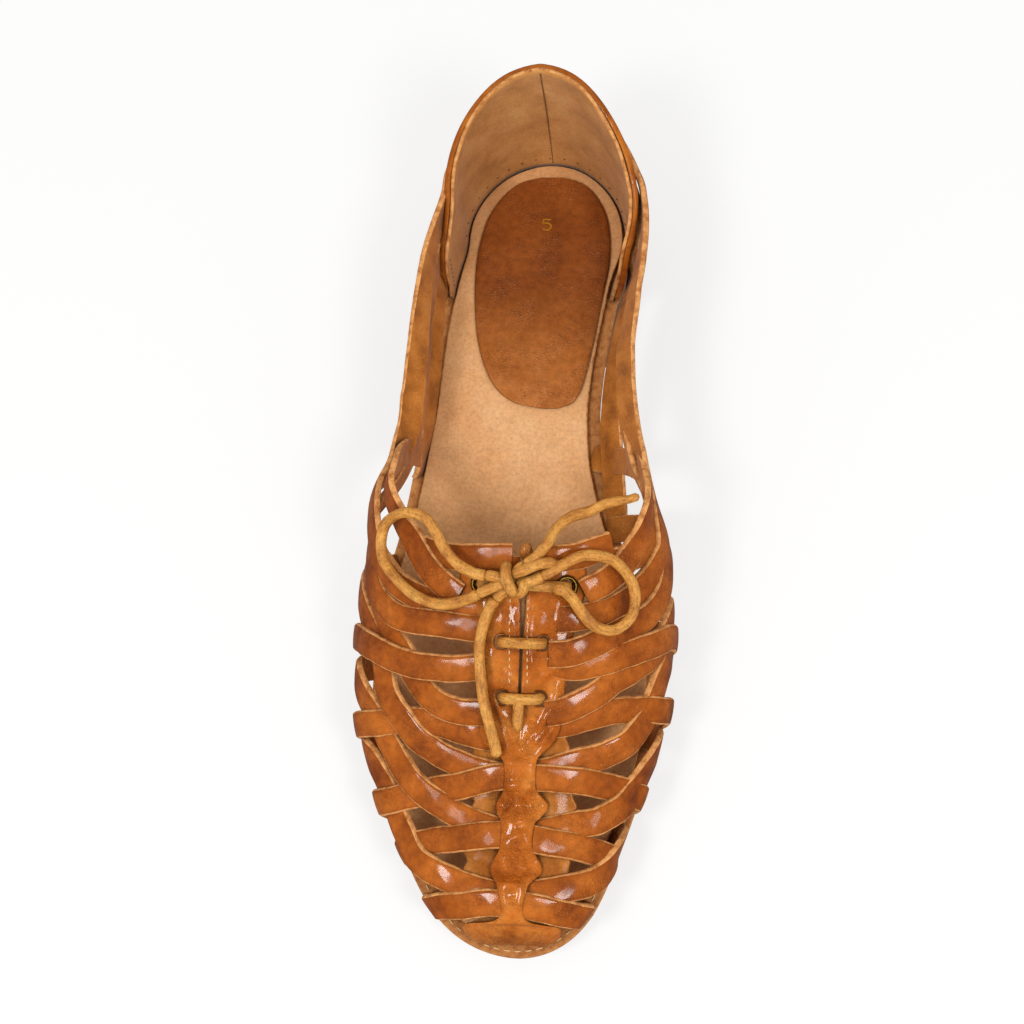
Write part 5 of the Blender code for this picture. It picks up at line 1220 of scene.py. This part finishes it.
# Routes of the bow: rows of (along, round, height over the last in mm)
LACE_ROUTES = {
    "lace_loop_left": ((0.4075, -0.085, 9.6), (0.411, -0.125, 9.4), (0.421, -0.169, 9.0),
                       (0.437, -0.206, 8.4), (0.459, -0.244, 7.9), (0.474, -0.281, 7.6),
                       (0.480, -0.332, 7.6), (0.479, -0.383, 8.0), (0.468, -0.422, 8.2),
                       (0.446, -0.426, 8.2), (0.426, -0.403, 8.2), (0.406, -0.354, 8.0),
                       (0.388, -0.295, 7.8), (0.378, -0.222, 7.8), (0.381, -0.154, 8.0),
                       (0.3895, -0.105, 8.8)),
    "lace_loop_right": ((0.4075, 0.060, 9.9), (0.422, 0.129, 9.2), (0.432, 0.184, 8.6), (0.434, 0.244, 8.4),
                        (0.430, 0.297, 8.4), (0.417, 0.342, 8.4), (0.400, 0.369, 8.4), (0.3775, 0.367, 8.2),
                        (0.3625, 0.330, 8.0), (0.357, 0.286, 8.0), (0.3615, 0.230, 8.0), (0.375, 0.188, 8.1),
                        (0.388, 0.156, 9.0), (0.3955, 0.128, 9.9), (0.3965, 0.098, 10.2)),
    "lace_end_up": ((0.4195, 0.010, 10.2), (0.4285, 0.044, 9.4), (0.4435, 0.082, 7.6), (0.457, 0.115, 4.5),
                    (0.466, 0.174, 1.0), (0.4735, 0.266, -0.6), (0.483, 0.330, 0.5), (0.490, 0.380, 3.2),
                    (0.4935, 0.410, 5.8), (0.497, 0.436, 7.6)),
    "lace_end_down": ((0.3835, -0.064, 7.5), (0.374, -0.081, 6.9), (0.3545, -0.099, 6.6),
                      (0.333, -0.108, 6.6), (0.312, -0.104, 6.6), (0.282, -0.095, 6.6),
                      (0.257, -0.078, 6.8), (0.237, -0.064, 6.8), (0.222, -0.054, 7.4)),
}
# The knot's strands: a wrap over the crossing, its tucked end and the runs that reach the loops and ends
KNOT_STRANDS = {
    "band": ((0.4130, -0.036, 7.8), (0.4175, -0.037, 9.6), (0.4130, -0.035, 11.7), (0.4050, -0.030, 12.5),
             (0.3970, -0.022, 11.9), (0.3915, -0.015, 9.9), (0.3935, -0.014, 7.9)),
    "tuck": ((0.3935, -0.018, 8.6), (0.3905, -0.003, 9.8), (0.3940, 0.008, 10.9), (0.4000, 0.010, 10.6),
             (0.4040, 0.002, 8.9)),
    "upper": ((0.4085, -0.092, 9.6), (0.4070, -0.065, 9.6), (0.4050, -0.040, 9.7), (0.4030, -0.015, 9.5)),
    "lower": ((0.3885, -0.112, 8.6), (0.3935, -0.085, 9.1), (0.3985, -0.058, 9.6), (0.4015, -0.028, 9.8)),
    "right": ((0.3995, -0.012, 9.6), (0.4025, 0.018, 9.9), (0.4050, 0.042, 9.9), (0.4095, 0.070, 9.9)),
    "twist": ((0.4090, -0.022, 9.8), (0.4150, 0.010, 11.6), (0.4195, 0.038, 11.2), (0.4225, 0.063, 10.6),
              (0.4225, 0.088, 9.4), (0.4190, 0.108, 7.8)),
    "under": ((0.4060, -0.020, 9.2), (0.4150, -0.005, 9.9), (0.4205, 0.014, 10.2)),
    "drop": ((0.3820, -0.066, 7.4), (0.3885, -0.052, 8.0), (0.3940, -0.036, 8.6), (0.4000, -0.022, 9.0)),
}


def waxed_thong():
    """Round waxed leather thong: mustard tan with a fine dark speckle, and fibres that twist a little."""
    material, tree, where = start_material("lace_leather")
    sheet = add(tree, "ShaderNodeTexCoord", out="UV")
    fibre = (1 / (3.03 * MM), 1 / (0.667 * MM), 1.0)
    along = add(tree, "ShaderNodeVectorMath", {0: sheet, 1: fibre}, operation="MULTIPLY")
    tone = add(tree, "ShaderNodeTexNoise", marks(where, 5 * MM, 4, 0.6))
    ambers = ((0.32, "AA6A26"), (0.50, "C38334"), (0.68, "D39846"))
    base = add(tree, "ShaderNodeValToRGB", {"Fac": tone}, stops=ambers)
    fibres = add(tree, "ShaderNodeTexNoise", marks(along, 1.0, 4, 0.65))
    base = stained(tree, base, fibres, 0.85, (0.36, 0.55), (0.56, 1.0))
    pits = add(tree, "ShaderNodeTexNoise", marks(where, 0.55 * MM, 3, 0.6))
    base = stained(tree, base, pits, 0.8, (0.56, 1.0), (0.68, 0.35))
    # Painted shade where the thong lies near other leather.
    base = painted_nearby_shade(tree, base, 0.5, reach=2.5 * MM)
    normal = add(tree, "ShaderNodeBump", {"Height": fibres, "Distance": 0.16 * MM})
    normal = add(tree, "ShaderNodeBump",
                 {"Height": pits, "Distance": 0.12 * MM, "Strength": 0.8, "Normal": normal})
    finish_material(tree, base, normal, {"Roughness": 0.60, "Specular IOR Level": 0.35})
    return material


def lace_tube(name, line, replaces, diameter=LACE_DIAMETER, taper=0.0, seed=0.0):
    """A round thong along the line, slightly lumpy, with rounded ends."""
    run = lengths_along(line)
    ahead = unit(np.gradient(line, axis=0))
    normal = np.cross(ahead[0], (0, 0, 1.0))
    normals = []
    for direction in ahead:
        normal = unit(normal - direction * (normal @ direction))
        normals.append(normal)
    normals = np.array(normals)
    binormals = np.cross(ahead, normals)
    turn = np.linspace(0, 2 * math.pi, LACE_SIDES, endpoint=False)
    radius = diameter / 2 * np.ones(len(line))
    end = 0.8 * MM
    radius *= np.sqrt(np.clip(run / end, 0.12, 1)) * np.sqrt(np.clip((run[-1] - run) / end, 0.12, 1))
    if taper:
        radius *= 1 - taper * np.clip((run - 0.6 * run[-1]) / (0.4 * run[-1]), 0, 1)
    angle = turn[None, :] + (LACE_TWIST * run)[:, None]
    ring = line[:, None, :] + radius[:, None, None] * (
        np.cos(angle)[..., None] * normals[:, None, :] + np.sin(angle)[..., None] * binormals[:, None, :])
    lumps = (ripple(ring, 2.6 * MM, 0.08 * MM, seed) + ripple(ring, 9 * MM, 0.14 * MM, seed + 5)
             ) * (radius / radius.max())[:, None]
    ring = ring + (ring - line[:, None, :]) / np.maximum(radius, 1e-6)[:, None, None] * lumps[..., None]
    uvs = np.stack(np.broadcast_arrays(run[:, None], turn[None, :] * diameter / 2), axis=-1)
    return ring_body(name, ring, uvs, np.zeros(LACE_SIDES, int), (LACE, LACE), replaces=replaces,
                     slot="lace_leather")


def spine_top(along):
    return float(lookup(SPINE, np.array(along), 3)) * LAYER_RISE + SPINE_THICK


def bar_route(along, outer, inner, under, over):
    """Down one hole, or up it, over the spine and down the other."""
    near, far = 0.010, 0.028
    return [(along, outer, under), (along, outer, 0.45 * over), (along, outer + near, 0.86 * over),
            (along, outer + far, 0.99 * over), (along, (outer + inner) / 2, 1.03 * over),
            (along, inner - far, 0.99 * over), (along, inner - near, 0.86 * over),
            (along, inner, 0.45 * over), (along, inner, under)]


def route_points(rows):
    along, around, height = np.array(rows).T
    return on_last(along, around, height)


def make_bars():
    clear = SEAT_GAP + LACE_DIAMETER / 2
    under = -clear + 0.4 * MM
    lifts = (1.1 * MM, 0.1 * MM, 0.1 * MM)
    for number, (row, lift) in enumerate(zip((EYELETS,) + LACE_BARS, lifts), 1):
        line = route_points(bar_route(*row, under, spine_top(row[0]) + clear + lift))
        lace_tube(f"lace_bar_{number}", spread(line, 8), ("lace_bars",), seed=number * 5.0)
    along, _, _ = LACE_BARS[1]
    lift = spine_top(0.25) + clear
    tail = route_points([(along - drop, SLIT[1], lift) for drop in (0.0, 0.011, 0.022, 0.033)])
    lace_tube("lace_tail", spread(tail, 8), ("lace_bars",), taper=0.35, seed=40.0)


def make_knot():
    for number, (strand, rows) in enumerate(KNOT_STRANDS.items()):
        line = spread(route_points(np.array(rows) * (1, 1, MM)), 8)
        lace_tube("lace_knot_" + strand, line, ("lace_knot",), seed=90.0 + 4 * number)


LACE = waxed_thong()
make_bars()
for number, (cord_name, rows) in enumerate(LACE_ROUTES.items()):
    rows = np.array(rows) * (1, 1, MM)
    line = spread(route_points(rows), 8)
    taper = 0.25 if cord_name == "lace_end_up" else 0.0
    piece = lace_tube(cord_name + "_thong", line, (cord_name,), taper=taper, seed=60.0 + 7 * number)
make_knot()


# Camera
# It stands where the photograph's camera stood, above the toe and a little to the inner side, with
# the same lens, and is turned to have this one shoe in the middle.

CAMERA_PLACE = Vector((55.7, -176.1, 562.8)) * MM
CAMERA_AIM = Vector((-2.2, 1.7, 25.0)) * MM
CAMERA_UP = Vector((-0.020, 0.949, 0.316))
SENSOR = 36.0
LENS = 68.7


def make_camera():
    data = bpy.data.cameras.new("camera")
    data.sensor_width, data.lens = SENSOR, LENS
    data.clip_start, data.clip_end = 0.01, 10
    camera = bpy.data.objects.new("camera", data)
    bpy.context.scene.collection.objects.link(camera)
    back = (CAMERA_PLACE - CAMERA_AIM).normalized()
    right = CAMERA_UP.cross(back).normalized()
    turned = Matrix((right, back.cross(right), back)).transposed()
    camera.matrix_world = Matrix.Translation(CAMERA_PLACE) @ turned.to_4x4()
    bpy.context.scene.camera = camera


make_camera()


# Studio
# A white room with a small bright softbox on each side in front of the toe, which gives the leather
# its sharp highlights, and a pale paper floor that takes a faint shadow.

KEY_PLACE, KEY_SIDE, KEY_POWER = Vector((-0.38, -0.38, 0.94)), 0.24, 5.0
BACK_PLACE, BACK_SIDE, BACK_POWER = Vector((0.46, -0.40, 0.88)), 0.24, 4.4
ROOM_GLOW = 0.80
ROOM_SHEEN = 0.16           # how bright the room looks in reflections
FLOOR_REACH = 3.0
FLOOR_DROP = 0.2 * MM       # keeps the floor's face off the heel's tread
FLOOR_GLOW = 0.66           # light of the paper's own, so that it stays nearly white
FLOOR_TINT = 0.24           # the share that takes shadows
FLOOR_FADE = (0.20, 0.50)   # from the shoe's shadow out to plain white, in metres


def make_softbox(name, place, side, power):
    data = bpy.data.lights.new(name, "AREA")
    data.shape, data.size, data.energy = "SQUARE", side, power
    lamp = bpy.data.objects.new(name, data)
    bpy.context.scene.collection.objects.link(lamp)
    lamp.location = place
    lamp.rotation_euler = (-place).to_track_quat("-Z", "Y").to_euler()


def make_room():
    """White to the camera, and a softer white all round as light."""
    world = bpy.data.worlds.new("studio")
    bpy.context.scene.world = world
    world.use_nodes = True
    tree = world.node_tree
    tree.nodes.clear()
    rays = add(tree, "ShaderNodeLightPath", out=None).outputs
    seen = add(tree, "ShaderNodeBackground", {"Color": (1, 1, 1, 1)})
    glow = add(tree, "ShaderNodeBackground", {"Color": (1, 0.985, 0.96, 1), "Strength": ROOM_GLOW})
    sheen = add(tree, "ShaderNodeBackground", {"Color": (1, 0.97, 0.93, 1), "Strength": ROOM_SHEEN})
    light = add(tree, "ShaderNodeMixShader", {0: rays["Is Glossy Ray"], 1: glow, 2: sheen})
    both = add(tree, "ShaderNodeMixShader", {0: rays["Is Camera Ray"], 1: light, 2: seen})
    add(tree, "ShaderNodeOutputWorld", {"Surface": both})


def make_floor():
    """A pale sheet of paper under the shoe, with no horizon. It can't be seen from below."""
    material, tree, where = start_material("paper_floor")
    white = (1, 1, 1, 1)
    glow = add(tree, "ShaderNodeEmission", {"Color": white, "Strength": FLOOR_GLOW})
    matt = add(tree, "ShaderNodeBsdfDiffuse", {"Color": (FLOOR_TINT, FLOOR_TINT, FLOOR_TINT, 1)})
    near = add(tree, "ShaderNodeAddShader", {0: glow, 1: matt})
    distance = add(tree, "ShaderNodeVectorMath", {"Vector": where}, out="Value", operation="LENGTH")
    near_end, far_end = FLOOR_FADE
    fade = add(tree, "ShaderNodeMapRange",
               {"Value": distance, "From Min": near_end, "From Max": far_end})
    far = add(tree, "ShaderNodeEmission", {"Color": white})
    seen = add(tree, "ShaderNodeMixShader", {0: fade, 1: near, 2: far})
    rays = add(tree, "ShaderNodeLightPath", out=None).outputs
    sheen = add(tree, "ShaderNodeEmission", {"Color": (1, 0.97, 0.93, 1), "Strength": ROOM_SHEEN})
    light = add(tree, "ShaderNodeMixShader", {0: rays["Is Glossy Ray"], 1: seen, 2: sheen})
    below = add(tree, "ShaderNodeNewGeometry", out="Backfacing")
    clear = add(tree, "ShaderNodeBsdfTransparent")
    surface = add(tree, "ShaderNodeMixShader", {0: below, 1: light, 2: clear})
    add(tree, "ShaderNodeOutputMaterial", {"Surface": surface})
    turn = np.linspace(0, 2 * math.pi, 48, endpoint=False)
    rim = np.stack((np.cos(turn), np.sin(turn), 0 * turn), axis=-1) * FLOOR_REACH
    rim[:, 2] = -FLOOR_DROP
    mesh = bpy.data.meshes.new("floor")
    mesh.from_pydata(rim.tolist(), [], [list(range(len(rim)))])
    mesh.materials.append(material)
    floor = bpy.data.objects.new("floor", mesh)
    bpy.context.scene.collection.objects.link(floor)


make_softbox("key", KEY_PLACE, KEY_SIDE, KEY_POWER)
make_softbox("back", BACK_PLACE, BACK_SIDE, BACK_POWER)
make_room()
make_floor()
view_settings = bpy.context.scene.view_settings
view_settings.view_transform = "Standard"
view_settings.look = "None"
